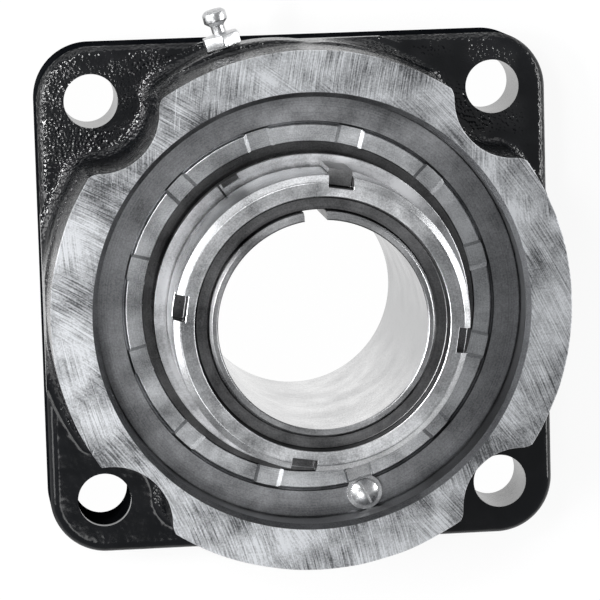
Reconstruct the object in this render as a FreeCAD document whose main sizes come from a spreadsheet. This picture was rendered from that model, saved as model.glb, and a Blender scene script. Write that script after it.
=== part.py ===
# Square four-bolt flange bearing unit with an adapter-mounted double-row spherical roller bearing.
# +Z runs along the bore and out of the front face; the origin is on the bore axis in the flange's back plane.
import FreeCAD, Part
import math
import os
import Sketcher
from FreeCAD import Placement, Rotation, Vector

os.makedirs("parts", exist_ok=True)
doc = FreeCAD.newDocument("flange_bearing_unit")
dims = doc.addObject("Spreadsheet::Sheet", "dims")

# Driving dimensions in millimetres and degrees
DRIVING = [
    # shaft bore, the height of the bearing's centre and the running and seating gaps
    ("bore_r", 37.305), ("centre_z", 38), ("seat_gap", 0.03), ("running_gap", 0.05), ("pocket_gap", 0.15),
    ("open_gap", 0.35),
    # cast flange and boss
    ("flange_side", 190.5), ("flange_thick", 27), ("flange_corner_r", 21), ("flange_edge_r", 3),
    ("bolt_pitch", 150), ("bolt_count", 4), ("bolt_hole_r", 10), ("boss_wall", 17.9), ("boss_step_wide", 0.9),
    ("boss_step_z", 46), ("boss_step_bevel", 0.9), ("face_z", 77), ("scallop_r", 21.7), ("scallop_corner_r", 8),
    ("sharp_corner_r", 3), ("base_fillet_r", 5), ("blank_side", 240),
    # mouth and bores of the casting
    ("land_wide", 10.55), ("mouth_bevel", 1.8), ("land_z", 63), ("thread_bevel", 0.8), ("rear_lip_wide", 7),
    ("cut_margin", 4),
    # raised pad for the grease fitting, on the side of the boss
    ("fitting_deg", 105.5), ("pad_r", 66.8), ("pad_proud", 1.7), ("pad_half", 35), ("pad_root_r", 80),
    ("pad_low_z", 29.5), ("pad_top_z", 45.6),
    # slotted adjusting ring in the mouth
    ("ring_nut_step", 2.45), ("ring_nut_top_z", 62.8), ("ring_nut_wide", 6.95), ("ring_nut_bevel", 0.6),
    ("ring_nut_flare", 2.5), ("notch_wide", 9), ("notch_deep", 1.6), ("notch_deg", 15), ("notch_count", 12),
    # lock plate and its screw
    ("lock_deg", 285), ("lock_screw_out", 4.05), ("plate_thick", 1.6), ("plate_end_r", 6.1), ("tab_wide", 8.5),
    ("tab_drop", 1.5), ("tab_tip_in", 1.4), ("screw_shank_r", 2.4),
    ("screw_long", 9), ("screw_head_r", 4.6), ("screw_head_high", 2.7), ("screw_brim_high", 1.2),
    ("screw_slot_wide", 1.1), ("screw_slot_deep", 1.2), ("screw_slot_deg", 120),
    # outer ring of the bearing
    ("ring_wall", 4.5), ("ring_half_wide", 17), ("race_r", 60.5), ("oil_groove_deep", 1.2),
    ("oil_groove_half", 3), ("oil_hole_r", 2), ("oil_hole_count", 3),
    # rollers, cages and guide ring
    ("roller_r", 7), ("roller_long", 12), ("roller_crown_r", 58), ("roller_bevel", 0.4), ("contact_deg", 8.82),
    ("roller_play", 0.03), ("roller_count", 17), ("cage_thick", 2.4), ("cage_in_z", 0.4), ("cage_out_z", 17),
    ("cage_cut_long", 12), ("window_in_z", 1.95), ("window_out_z", 14.5), ("guide_half", 0.9),
    ("guide_out_r", 50.4),
    # inner ring
    ("inner_land_half", 1.15), ("inner_crown_r", 60), ("collar_r", 48.5),
    ("rib_low_z", 13.45), ("rib_top_z", 13.95), ("inner_rear_z", 4), ("inner_front_z", 75),
    ("taper_small_r", 40.62), ("taper_end_z", 60), ("taper_ratio", 24),
    # adapter sleeve
    ("sleeve_rear_z", 2), ("sleeve_front_z", 108), ("sleeve_thread_r", 40.5), ("sleeve_bevel", 1),
    ("slit_wide", 8), ("slit_deg", 92.5),
    # locknut and its washer
    ("nut_wall", 12.4), ("nut_rear_z", 77), ("nut_front_z", 107), ("nut_bevel_wide", 1.6),
    ("nut_bevel_deep", 2.2),
    ("nut_rim_wide", 7.5), ("nut_recess_deep", 4), ("nut_recess_slope", 0.6), ("nut_slot_wide", 9),
    ("nut_slot_high", 4.4), ("nut_slot_deep", 9), ("nut_slot_count", 4), ("nut_slot_deg", 81),
    ("washer_low_z", 75.1), ("washer_thick", 1.7), ("washer_inset", 0.4), ("tang_thick", 1.6),
    ("tang_wide", 8.6), ("tang_tip_gap", 0.6), ("tongue_wide", 7), ("tongue_tip_r", 38.3), ("root_overlap", 1),
    ("face_gap", 0.1),
    # retaining ring and flinger in front of the seal
    ("snap_low_z", 71.7), ("snap_thick", 1.7), ("snap_in_r", 47.4), ("snap_out_r", 57.4), ("snap_split", 0.8),
    ("snap_notch_wide", 6.8), ("snap_notch_deep", 2.1), ("snap_deg", 125), ("snap_notch_turn", 4.6),
    ("flinger_low_z", 64.6), ("flinger_out_r", 56.9), ("flinger_hub_r", 51.5), ("flinger_wall", 2),
    # floating seal rings with spherical rims
    ("seal_low", 20), ("seal_top", 23.8), ("seal_groove_out", 57.6), ("seal_groove_in", 53.4),
    ("seal_groove_deep", 1), ("rear_seat_step", 3), ("rear_seal_low", 26), ("rear_seal_top", 21.8),
    # grease fitting, measured out from its pad
    ("fitting_shank_r", 5), ("fitting_shank_long", 8), ("fitting_hex_across", 13), ("fitting_hex_high", 5),
    ("fitting_neck_r", 2.5), ("fitting_neck_top", 8.4), ("fitting_head_r", 4.4), ("fitting_head_low", 10),
    ("fitting_head_high", 13.2), ("fitting_tip_r", 3), ("fitting_tip_z", 14.4), ("fitting_mouth_r", 1.1),
    ("fitting_chamber_r", 1.8), ("fitting_passage_r", 1), ("fitting_floor_z", 6.8), ("fitting_seat_z", 13.2),
    ("ball_r", 1.6), ("ball_travel", 0.5), ("spring_r", 1.4), ("wire_r", 0.22), ("spring_turns", 3),
    ("grease_hole_r", 2.2), ("grease_tap_deep", 9),
]

# Sizes worked out from the driving ones
DERIVED = [
    ("flange_half", "=flange_side / 2"), ("bolt_half", "=bolt_pitch / 2"),
    ("boss_high", "=face_z - flange_thick"), ("blank_half", "=blank_side / 2"),
    ("mouth_r", "=ring_nut_r + land_wide"), ("boss_r", "=mouth_r + boss_wall"),
    ("boss_top_r", "=boss_r - boss_step_wide"),
    ("foot_r", "=boss_r + base_fillet_r + open_gap"),
    ("foot_scallop_r", "=scallop_r - base_fillet_r - open_gap"),
    ("foot_corner_r", "=scallop_corner_r + base_fillet_r + open_gap"),
    ("foot_sharp_r", "=sharp_corner_r + base_fillet_r + open_gap"), ("pad_low_y", "=-pad_half"),
    ("pad_face_r", "=boss_r + pad_proud"), ("pad_offset", "=pad_face_r - pad_r"),
    ("grease_in_r", "=seat_r - open_gap"), ("grease_out_r", "=pad_face_r + cut_margin"),
    ("notch_in_r", "=ring_nut_edge_r - cut_margin"), ("notch_out_r", "=ring_nut_r + cut_margin"),
    ("screw_slot_right", "=screw_head_r + cut_margin"), ("screw_slot_left", "=-screw_slot_right"),
    ("roller_low", "=-roller_half"), ("roller_flank_low", "=-roller_flank"),
    ("roller_belly_low", "=-roller_belly"),
    ("cage_in_low_r", "=cage_in_r - cage_half"), ("cage_in_high_r", "=cage_in_r + cage_half"),
    ("cage_out_low_r", "=cage_out_r - cage_half"), ("cage_out_high_r", "=cage_out_r + cage_half"),
    ("cage_cut_r", "=cage_out_r - cut_margin"), ("window_left", "=-window_half"),
    ("slit_in_r", "=bore_r - cut_margin"),
    ("slit_out_r", "=sleeve_rear_r + cut_margin"), ("nut_floor_r", "=nut_recess_r - nut_recess_slope"),
    ("nut_slot_out_r", "=nut_r + cut_margin"), ("tang_root_r", "=washer_r - root_overlap"),
    ("tongue_root_r", "=washer_in_r + root_overlap"), ("snap_cut_in_r", "=snap_in_r - cut_margin"),
    ("snap_cut_out_r", "=snap_out_r + cut_margin"), ("snap_split_half", "=snap_split / 2"),
    ("snap_notch_half", "=snap_notch_wide / 2"),
    ("screw_dome", "=screw_top_z - screw_brim_z"),
    ("screw_dome_z", "=screw_top_z - (screw_head_r ^ 2 + screw_dome ^ 2) / (2 * screw_dome)"),
    ("pad_high", "=pad_top_z - pad_low_z"), ("step_bevel_z", "=boss_step_z + boss_step_bevel"),
    ("below_z", "=-cut_margin"), ("above_z", "=face_z + cut_margin"), ("outside_r", "=boss_r + cut_margin"),
    ("ring_od_r", "=race_r + ring_wall"), ("oil_groove_r", "=ring_od_r - oil_groove_deep"),
    ("ring_nut_r", "=ring_od_r + ring_nut_step"), ("ring_nut_edge_r", "=ring_nut_r - ring_nut_wide"),
    ("lock_screw_r", "=ring_nut_r + lock_screw_out"), ("neck_out_r", "=ring_nut_r - open_gap"),
    ("tab_tip_r", "=ring_nut_edge_r + tab_tip_in"), ("snap_notch_r", "=snap_out_r - snap_notch_deep"),
    ("ring_rear_z", "=centre_z - ring_half_wide"), ("ring_front_z", "=centre_z + ring_half_wide"),
    ("seat_r", "=ring_od_r + seat_gap"), ("rear_seat_r", "=ring_od_r - rear_seat_step"),
    ("rear_open_r", "=rear_seat_r - rear_lip_wide"), ("thread_low_z", "=ring_front_z - open_gap"),
    ("thread_r", "=ring_nut_r + running_gap"), ("thread_bevel_z", "=land_z - thread_bevel"),
    ("land_in_r", "=thread_r + thread_bevel"), ("mouth_bevel_z", "=face_z - mouth_bevel"),
    ("mouth_out_r", "=mouth_r + mouth_bevel"),
    ("rear_lip_z", "=centre_z - sqrt(rear_seat_r * rear_seat_r - rear_open_r * rear_open_r)"),
    ("nut_sphere_r", "=sqrt(ring_nut_edge_r ^ 2 + (ring_nut_top_z - centre_z) ^ 2)"),
    ("ring_nut_low_z", "=ring_front_z + seat_gap"), ("ring_nut_foot_r", "=ring_nut_edge_r + ring_nut_flare"),
    ("ring_nut_bevel_r", "=ring_nut_r - ring_nut_bevel"),
    ("ring_nut_bevel_z", "=ring_nut_top_z - ring_nut_bevel"), ("notch_half", "=notch_wide / 2"),
    ("plate_top_z", "=land_z + plate_thick"), ("tab_low_z", "=land_z - tab_drop"),
    ("tab_top_z", "=tab_low_z + plate_thick"), ("neck_in_r", "=neck_out_r - plate_thick"),
    ("plate_hole_r", "=screw_shank_r + pocket_gap"),
    ("screw_low_z", "=plate_top_z - screw_long"), ("screw_hole_r", "=screw_shank_r + running_gap"),
    ("screw_top_z", "=plate_top_z + screw_head_high"), ("screw_brim_z", "=plate_top_z + screw_brim_high"),
    ("screw_hole_z", "=screw_low_z - cut_margin"), ("screw_slot_half", "=screw_slot_wide / 2"),
    ("oil_low_z", "=centre_z - oil_groove_half"), ("oil_high_z", "=centre_z + oil_groove_half"),
    ("roller_line", "=race_r - roller_play - roller_r"),
    ("roller_pitch_r", "=roller_line * cos(contact_deg)"), ("roller_step", "=roller_line * sin(contact_deg)"),
    ("roller_half", "=roller_long / 2"), ("roller_flank", "=roller_half - roller_bevel"),
    ("crown_centre", "=roller_r - roller_crown_r"), ("roller_belly", "=roller_long / 6"),
    ("roller_belly_r", "=crown_centre + sqrt(roller_crown_r ^ 2 - roller_belly ^ 2)"),
    ("roller_flank_r", "=crown_centre + sqrt(roller_crown_r ^ 2 - roller_flank ^ 2)"),
    ("roller_end_r", "=roller_flank_r - roller_bevel"),
    ("inner_line", "=roller_line - roller_r - roller_play + inner_crown_r"),
    ("inner_crown_x", "=inner_line * cos(contact_deg)"), ("inner_crown_step", "=inner_line * sin(contact_deg)"),
    ("front_crown_z", "=centre_z + inner_crown_step"), ("rear_crown_z", "=centre_z - inner_crown_step"),
    ("front_rib_z", "=centre_z + rib_top_z"), ("front_rib_low_z", "=centre_z + rib_low_z"),
    ("rear_rib_z", "=centre_z - rib_top_z"), ("rear_rib_low_z", "=centre_z - rib_low_z"),
    ("land_top_z", "=centre_z + inner_land_half"), ("land_low_z", "=centre_z - inner_land_half"),
    ("taper_rear_r", "=taper_small_r + (taper_end_z - inner_rear_z) / taper_ratio"),
    ("groove_r", "=snap_in_r - face_gap"), ("groove_low_z", "=snap_low_z - face_gap"),
    ("snap_top_z", "=snap_low_z + snap_thick"), ("groove_top_z", "=snap_top_z + face_gap"),
    ("sleeve_small_r", "=taper_small_r - seat_gap"),
    ("sleeve_rear_r", "=sleeve_small_r + (taper_end_z - sleeve_rear_z) / taper_ratio"),
    ("sleeve_mouth_r", "=bore_r + sleeve_bevel"), ("sleeve_low_z", "=sleeve_rear_z + sleeve_bevel"),
    ("sleeve_high_z", "=sleeve_front_z - sleeve_bevel"), ("sleeve_end_r", "=sleeve_thread_r - sleeve_bevel"),
    ("slit_half", "=slit_wide / 2"),
    ("nut_thread_r", "=sleeve_thread_r + face_gap"), ("nut_r", "=nut_thread_r + nut_wall"),
    ("nut_edge_r", "=nut_r - nut_bevel_wide"), ("nut_recess_r", "=nut_r - nut_rim_wide"),
    ("nut_slot_r", "=nut_r - nut_slot_high"), ("washer_r", "=nut_r - washer_inset"),
    ("tang_tip_r", "=nut_slot_r + tang_tip_gap"),
    ("nut_edge_z", "=nut_front_z - nut_bevel_deep"), ("nut_floor_z", "=nut_front_z - nut_recess_deep"),
    ("nut_slot_half", "=nut_slot_wide / 2"), ("washer_top_z", "=washer_low_z + washer_thick"),
    ("washer_in_r", "=sleeve_thread_r + pocket_gap"),
    ("tang_in_r", "=nut_r + pocket_gap"), ("tang_out_r", "=tang_in_r + tang_thick"),
    ("tang_low_z", "=nut_front_z - nut_slot_deep + face_gap"), ("tang_top_z", "=tang_low_z + tang_thick"),
    ("tongue_half", "=tongue_wide / 2"), ("flinger_in_r", "=collar_r + seat_gap"),
    ("flinger_top_z", "=snap_low_z - face_gap"),
    ("flinger_disc_z", "=flinger_top_z - flinger_wall"), ("flinger_skirt_r", "=flinger_out_r - flinger_wall"),
    ("flinger_skirt_z", "=flinger_low_z + open_gap"),
    ("seal_bore_r", "=collar_r + open_gap"), ("seal_low_z", "=centre_z + seal_low"),
    ("seal_top_z", "=centre_z + seal_top"), ("seal_sphere_r", "=nut_sphere_r - running_gap"),
    ("seal_groove_z", "=seal_top_z - seal_groove_deep"), ("rear_seal_low_z", "=centre_z - rear_seal_low"),
    ("rear_seal_top_z", "=centre_z - rear_seal_top"), ("rear_seal_sphere_r", "=rear_seat_r - running_gap"),
    ("race_rib_r", "=inner_crown_x - sqrt(inner_crown_r ^ 2 - (rib_low_z - inner_crown_step) ^ 2)"),
    ("race_land_r", "=inner_crown_x - sqrt(inner_crown_r ^ 2 - (inner_land_half - inner_crown_step) ^ 2)"),
    ("guide_in_r", "=race_land_r + running_gap"), ("guide_low_z", "=centre_z - guide_half"),
    ("guide_top_z", "=centre_z + guide_half"), ("window_half", "=roller_r + pocket_gap"),
    ("cage_half", "=cage_thick / 2"),
    ("cage_in_r", "=roller_pitch_r + (roller_step - cage_in_z) * tan(contact_deg)"),
    ("cage_out_r", "=roller_pitch_r + (roller_step - cage_out_z) * tan(contact_deg)"),
    ("tap_floor_r", "=pad_face_r - grease_tap_deep"),
    ("tap_r", "=fitting_shank_r + running_gap"), ("hex_corner_r", "=fitting_hex_across / sqrt(3)"),
    ("fitting_end_z", "=-fitting_shank_long"),
    ("ball_z", "=fitting_seat_z - sqrt(ball_r ^ 2 - fitting_mouth_r ^ 2) - seat_gap"),
    ("spring_low_z", "=fitting_floor_z + wire_r + seat_gap"),
    ("spring_long", "=ball_z - ball_r - ball_travel - seat_gap - wire_r - spring_low_z"),
]


def fill_sheet():
    for row, (alias, content) in enumerate(DRIVING + DERIVED, start=1):
        cell = "A%d" % row
        dims.set(cell, str(content))
        dims.setAlias(cell, alias)
    doc.recompute()


def size(alias):
    return float(dims.get(alias))


# Sketches, bodies and features bound to the sheet
def place(item, x="0", y="0", z="0", turn="0", axis="0; 0; 1", slot="Placement"):
    """Binds an object's place to the sheet: a point and a turn in degrees about an axis."""
    item.setExpression(slot, "placement(vector(%s; %s; %s); rotation(vector(%s); %s))" % (x, y, z, axis, turn))


def new_body(label, turn=None, lift="0"):
    body = doc.addObject("PartDesign::Body", label)
    body.Label = label
    if turn:
        place(body, z=lift, turn=turn)
    return body


def new_sketch(body, name, role="XZ_Plane", lift="0", across="0", along="0", turn="0"):
    """A sketch on one of its body's own planes, moved and turned within that plane and lifted off it."""
    plane = [item for item in body.Origin.OriginFeatures if item.Role == role][0]
    sketch = body.newObject("Sketcher::SketchObject", name)
    sketch.AttachmentSupport = [(plane, "")]
    sketch.MapMode = "FlatFace"
    place(sketch, across, along, lift, turn, slot="AttachmentOffset")
    return sketch


def bind(sketch, kind, name, expression, *where):
    value = where[-1]
    index = sketch.addConstraint(Sketcher.Constraint(kind, *where[:-1], value))
    sketch.renameConstraint(index, name)
    sketch.setExpression("Constraints." + name, expression)


def place_corner(sketch, index, corner, geometry, vertex):
    across, along = corner[0], corner[1]
    if across == 0:
        sketch.addConstraint(Sketcher.Constraint("PointOnObject", geometry, vertex, -2))
    elif across:
        bind(sketch, "DistanceX", "x%d" % index, "dims." + across, -1, 1, geometry, vertex, size(across))
    if along == 0:
        sketch.addConstraint(Sketcher.Constraint("PointOnObject", geometry, vertex, -1))
    elif along:
        bind(sketch, "DistanceY", "y%d" % index, "dims." + along, -1, 1, geometry, vertex, size(along))


def coordinate(name, guess):
    if name is None:
        return size(guess)
    return size(name) if name else 0


def corner_point(corner):
    """A corner's first place; the third entry names a size near the coordinate that the solver works out."""
    guess = corner[2] if len(corner) > 2 else None
    return Vector(coordinate(corner[0], guess), coordinate(corner[1], guess), 0)


def draw_arc(sketch, start, end, centre):
    """Draws the short arc from start to end about centre and returns its first and last vertex."""
    first = math.atan2(start.y - centre.y, start.x - centre.x)
    last = math.atan2(end.y - centre.y, end.x - centre.x)
    turn = (last - first) % (2 * math.pi)
    circle = Part.Circle(centre, Vector(0, 0, 1), (start - centre).Length)
    if turn < math.pi:
        sketch.addGeometry(Part.ArcOfCircle(circle, first, first + turn), False)
        return 1, 2
    sketch.addGeometry(Part.ArcOfCircle(circle, last, last + 2 * math.pi - turn), False)
    return 2, 1


def draw_profile(sketch, corners, arcs=None):
    """Closes a profile through corners given as sheet names; arcs maps an edge to its centre and radius."""
    arcs = arcs or {}
    points = [corner_point(corner) for corner in corners]
    count = len(points)
    ends = []
    for index in range(count):
        start, end = points[index], points[(index + 1) % count]
        if index not in arcs:
            sketch.addGeometry(Part.LineSegment(start, end), False)
            ends.append((1, 2))
            continue
        centre = corner_point(arcs[index])
        ends.append(draw_arc(sketch, start, end, centre))
    for index in range(count):
        follower = (index + 1) % count
        sketch.addConstraint(
            Sketcher.Constraint("Coincident", index, ends[index][1], follower, ends[follower][0]))
    for index, corner in enumerate(corners):
        place_corner(sketch, index, corner, index, ends[index][0])
    for index, arc in arcs.items():
        place_corner(sketch, count + index, arc, index, 3)
        if arc[1] is not None:
            bind(sketch, "Radius", "radius%d" % index, "dims." + arc[2], index, size(arc[2]))


def revolve(body, name, sketch, kind="PartDesign::Revolution", axis="V_Axis"):
    feature = body.newObject(kind, name)
    feature.Profile = sketch
    feature.ReferenceAxis = (sketch, [axis])
    feature.Angle = 360
    sketch.Visibility = False
    doc.recompute()
    return feature


def extrude(body, name, sketch, length=None, kind="PartDesign::Pad", reverse=False, both_ways=False):
    """Pads or pockets a sketch by a named length, or right through where none is named."""
    feature = body.newObject(kind, name)
    feature.Profile = sketch
    if length:
        feature.setExpression("Length", "dims." + length)
    else:
        feature.Type = "ThroughAll"
    feature.Reversed = reverse
    feature.Midplane = both_ways
    sketch.Visibility = False
    doc.recompute()
    return feature


def repeat_about_z(body, name, feature, count):
    polar = body.newObject("PartDesign::PolarPattern", name)
    polar.Originals = [feature]
    axis = [item for item in body.Origin.OriginFeatures if item.Role == "Z_Axis"][0]
    polar.Axis = (axis, [""])
    polar.Angle = 360
    polar.setExpression("Occurrences", "dims." + count)
    body.Tip = polar
    doc.recompute()
    return polar


def round_edges(body, name, wanted, radius):
    base = body.Tip
    names = ["Edge%d" % (i + 1) for i, edge in enumerate(base.Shape.Edges) if wanted(edge)]
    fillet = body.newObject("PartDesign::Fillet", name)
    fillet.Base = (base, names)
    fillet.setExpression("Radius", "dims." + radius)
    doc.recompute()
    return fillet


def bind_circle(sketch, radius, across=None, along=None):
    centre = Vector(size(across) if across else 0, size(along) if along else 0, 0)
    index = sketch.addGeometry(Part.Circle(centre, Vector(0, 0, 1), size(radius)), False)
    bind(sketch, "Radius", "radius%d" % index, "dims." + radius, index, size(radius))
    if not across and not along:
        sketch.addConstraint(Sketcher.Constraint("Coincident", index, 3, -1, 1))
        return
    place_corner(sketch, index, (across or 0, along or 0), index, 3)


def draw_box(sketch, low_x, high_x, half_y):
    """A rectangle from low_x to high_x that lies evenly about the sketch's own X axis."""
    left, right, half = size(low_x), size(high_x), size(half_y)
    corners = [Vector(left, -half, 0), Vector(right, -half, 0), Vector(right, half, 0), Vector(left, half, 0)]
    for index in range(4):
        sketch.addGeometry(Part.LineSegment(corners[index], corners[(index + 1) % 4]), False)
    for index in range(4):
        sketch.addConstraint(Sketcher.Constraint("Coincident", index, 2, (index + 1) % 4, 1))
    for index, kind in ((0, "Horizontal"), (2, "Horizontal"), (3, "Vertical")):
        sketch.addConstraint(Sketcher.Constraint(kind, index))
    sketch.addConstraint(Sketcher.Constraint("Symmetric", 1, 1, 1, 2, -1))
    bind(sketch, "DistanceX", "low_x", "dims." + low_x, -1, 1, 0, 1, left)
    bind(sketch, "DistanceX", "high_x", "dims." + high_x, -1, 1, 0, 2, right)
    bind(sketch, "DistanceY", "half_y", "dims." + half_y, -1, 1, 2, 1, half)


def draw_square(sketch, half_side):
    """A square about the origin."""
    half = size(half_side)
    corners = [Vector(-half, -half, 0), Vector(half, -half, 0), Vector(half, half, 0), Vector(-half, half, 0)]
    for index in range(4):
        sketch.addGeometry(Part.LineSegment(corners[index], corners[(index + 1) % 4]), False)
    for index in range(4):
        sketch.addConstraint(Sketcher.Constraint("Coincident", index, 2, (index + 1) % 4, 1))
        sketch.addConstraint(Sketcher.Constraint("Horizontal" if index % 2 == 0 else "Vertical", index))
    sketch.addConstraint(Sketcher.Constraint("Symmetric", 0, 1, 1, 2, -1, 1))
    bind(sketch, "DistanceX", "half_x", "dims." + half_side, -1, 1, 1, 1, half)
    bind(sketch, "DistanceY", "half_y", "dims." + half_side, -1, 1, 1, 2, half)


# Edges of the casting that are rounded; closer than TOUCH is the same place, and SPARE is room for a test
TOUCH = 0.01
SPARE = 1


def upright(edge):
    low, high = edge.Vertexes[0].Point, edge.Vertexes[-1].Point
    return abs(low.z - high.z) > SPARE and math.hypot(low.x - high.x, low.y - high.y) < TOUCH


def within(edge, reach):
    return all(math.hypot(vertex.Point.x, vertex.Point.y) < reach for vertex in edge.Vertexes)


def level_at(edge, height):
    return all(abs(vertex.Point.z - height) < TOUCH for vertex in edge.Vertexes)


def left_sharp(edge):
    """The left corner of the lower left scallop, which the casting leaves nearly sharp."""
    point = edge.Vertexes[0].Point
    return point.x < 0 and point.y < 0 and abs(point.x) > abs(point.y)


def round_scallop_corners(body, label, reach, soft, sharp):
    def corner(edge):
        return upright(edge) and within(edge, size(reach) + SPARE)

    round_edges(body, label + "_corners", lambda edge: corner(edge) and not left_sharp(edge), soft)
    round_edges(body, label + "_sharp_corner", lambda edge: corner(edge) and left_sharp(edge), sharp)


def cut_scallops(body, label, radius, low, length):
    sketch = new_sketch(body, label + "_scallop_sketch", "XY_Plane", lift=low)
    bind_circle(sketch, radius, "bolt_half", "bolt_half")
    pocket = extrude(body, label + "_scallop", sketch, length, "PartDesign::Pocket", reverse=True)
    repeat_about_z(body, label + "_scallops", pocket, "bolt_count")


# The casting: a square flange, a scalloped boss on it and a raised pad for the grease fitting
def make_boss():
    """The boss on an oversize plate, so that its root can be rounded all the way round."""
    body = new_body("boss_blank")
    plate = new_sketch(body, "blank_sketch", "XY_Plane")
    draw_square(plate, "blank_half")
    extrude(body, "blank_plate", plate, "flange_thick")
    disc = new_sketch(body, "boss_sketch", "XY_Plane")
    bind_circle(disc, "boss_r")
    extrude(body, "boss_disc", disc, "face_z")
    cut_scallops(body, "boss", "scallop_r", "dims.flange_thick", "boss_high")
    round_scallop_corners(body, "boss", "boss_r", "scallop_corner_r", "sharp_corner_r")
    round_edges(body, "boss_root",
                lambda edge: level_at(edge, size("flange_thick")) and within(edge, size("boss_r") + SPARE),
                "base_fillet_r")
    step = new_sketch(body, "boss_step_sketch")
    draw_profile(step, [("boss_r", "boss_step_z"), ("outside_r", "boss_step_z"), ("outside_r", "above_z"),
                        ("boss_top_r", "above_z"), ("boss_top_r", "step_bevel_z")])
    revolve(body, "boss_step", step, "PartDesign::Groove")
    return body


def make_footprint():
    """The boss's outline grown past its rounded root."""
    body = new_body("boss_footprint")
    disc = new_sketch(body, "footprint_sketch", "XY_Plane")
    bind_circle(disc, "foot_r")
    extrude(body, "footprint_disc", disc, "face_z")
    cut_scallops(body, "footprint", "foot_scallop_r", "0", "face_z")
    round_scallop_corners(body, "footprint", "foot_r", "foot_corner_r", "foot_sharp_r")
    return body


def make_square_post(label, high):
    body = new_body(label)
    sketch = new_sketch(body, label + "_sketch", "XY_Plane")
    draw_square(sketch, "flange_half")
    extrude(body, label + "_pad", sketch, high)
    round_edges(body, label + "_corners", upright, "flange_corner_r")
    return body


def make_flange():
    body = make_square_post("flange_plate", "flange_thick")
    round_edges(body, "flange_edge", lambda edge: level_at(edge, size("flange_thick")), "flange_edge_r")
    hole = new_sketch(body, "bolt_hole_sketch", "XY_Plane")
    bind_circle(hole, "bolt_hole_r", "bolt_half", "bolt_half")
    pocket = extrude(body, "bolt_hole", hole, None, "PartDesign::Pocket", reverse=True)
    repeat_about_z(body, "bolt_holes", pocket, "bolt_count")
    return body


def make_fitting_pad():
    body = new_body("fitting_pad", "dims.fitting_deg")
    sketch = new_sketch(body, "fitting_pad_sketch", "XY_Plane", lift="dims.pad_low_z")
    draw_profile(sketch, [("pad_root_r", "pad_low_y"), (None, "pad_low_y", "boss_top_r"),
                          (None, "pad_half", "boss_top_r"), ("pad_root_r", "pad_half")],
                 {1: ("pad_offset", 0, "pad_r")})
    extrude(body, "fitting_pad_block", sketch, "pad_high")
    return body


def make_bore_tool():
    """What is bored out of the casting: rear opening, seal seat, bearing seat, thread and mouth."""
    body = new_body("bore_tool")
    sketch = new_sketch(body, "bore_sketch")
    draw_profile(sketch, [
        (0, "below_z"), ("rear_open_r", "below_z"), ("rear_open_r", None, "rear_lip_z"),
        (None, "ring_rear_z", "rear_seat_r"), ("seat_r", "ring_rear_z"), ("seat_r", "thread_low_z"),
        ("thread_r", "thread_low_z"), ("thread_r", "thread_bevel_z"), ("land_in_r", "land_z"),
        ("mouth_r", "land_z"), ("mouth_r", "mouth_bevel_z"), ("mouth_out_r", "face_z"),
        ("mouth_out_r", "above_z"), (0, "above_z")],
        {2: (0, "centre_z", "rear_seat_r")})
    revolve(body, "bore_turned", sketch)
    return body


def make_grease_hole():
    """The tapped hole under the grease fitting and the passage to the bearing's oil groove."""
    body = new_body("grease_hole", "dims.fitting_deg", "dims.centre_z")
    sketch = new_sketch(body, "grease_hole_sketch")
    draw_profile(sketch, [("grease_in_r", 0), ("grease_in_r", "grease_hole_r"),
                          ("tap_floor_r", "grease_hole_r"), ("tap_floor_r", "tap_r"),
                          ("grease_out_r", "tap_r"), ("grease_out_r", 0)])
    revolve(body, "grease_hole_turned", sketch, axis="H_Axis")
    return body


def make_screw_hole():
    hole = doc.addObject("Part::Cylinder", "screw_hole")
    hole.setExpression("Radius", "dims.screw_hole_r")
    hole.setExpression("Height", "dims.screw_long + dims.cut_margin")
    place(hole, "dims.lock_screw_r * cos(dims.lock_deg)", "dims.lock_screw_r * sin(dims.lock_deg)",
          "dims.screw_hole_z")
    return hole


def combine(kind, label, shapes):
    item = doc.addObject(kind, label)
    item.Shapes = shapes
    doc.recompute()
    return item


def make_housing():
    boss = combine("Part::MultiCommon", "boss",
                   [make_boss(), make_footprint(), make_square_post("flange_outline", "face_z")])
    casting = combine("Part::MultiFuse", "casting", [make_flange(), boss, make_fitting_pad()])
    cutters = combine("Part::MultiFuse", "cutters", [make_bore_tool(), make_grease_hole(), make_screw_hole()])
    housing = doc.addObject("Part::Cut", "housing")
    housing.Base = casting
    housing.Tool = cutters
    housing.Refine = True
    doc.recompute()
    return [housing]


# Slotted ring in the mouth, its lock plate and the screw
def make_adjusting_ring():
    body = new_body("adjusting_ring", "dims.notch_deg")
    sketch = new_sketch(body, "adjusting_ring_sketch")
    draw_profile(sketch, [
        ("ring_nut_foot_r", "ring_nut_low_z"), ("ring_nut_r", "ring_nut_low_z"),
        ("ring_nut_r", "ring_nut_bevel_z"), ("ring_nut_bevel_r", "ring_nut_top_z"),
        (None, "ring_nut_top_z", "ring_nut_edge_r"), ("ring_nut_foot_r", None, "seal_low_z")],
        {4: (0, "centre_z", "nut_sphere_r")})
    revolve(body, "adjusting_ring_turned", sketch)
    notch = new_sketch(body, "notch_sketch", "XY_Plane", lift="dims.ring_nut_top_z")
    draw_box(notch, "notch_in_r", "notch_out_r", "notch_half")
    pocket = extrude(body, "notch", notch, "notch_deep", "PartDesign::Pocket")
    repeat_about_z(body, "notches", pocket, "notch_count")
    return [body]


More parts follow.
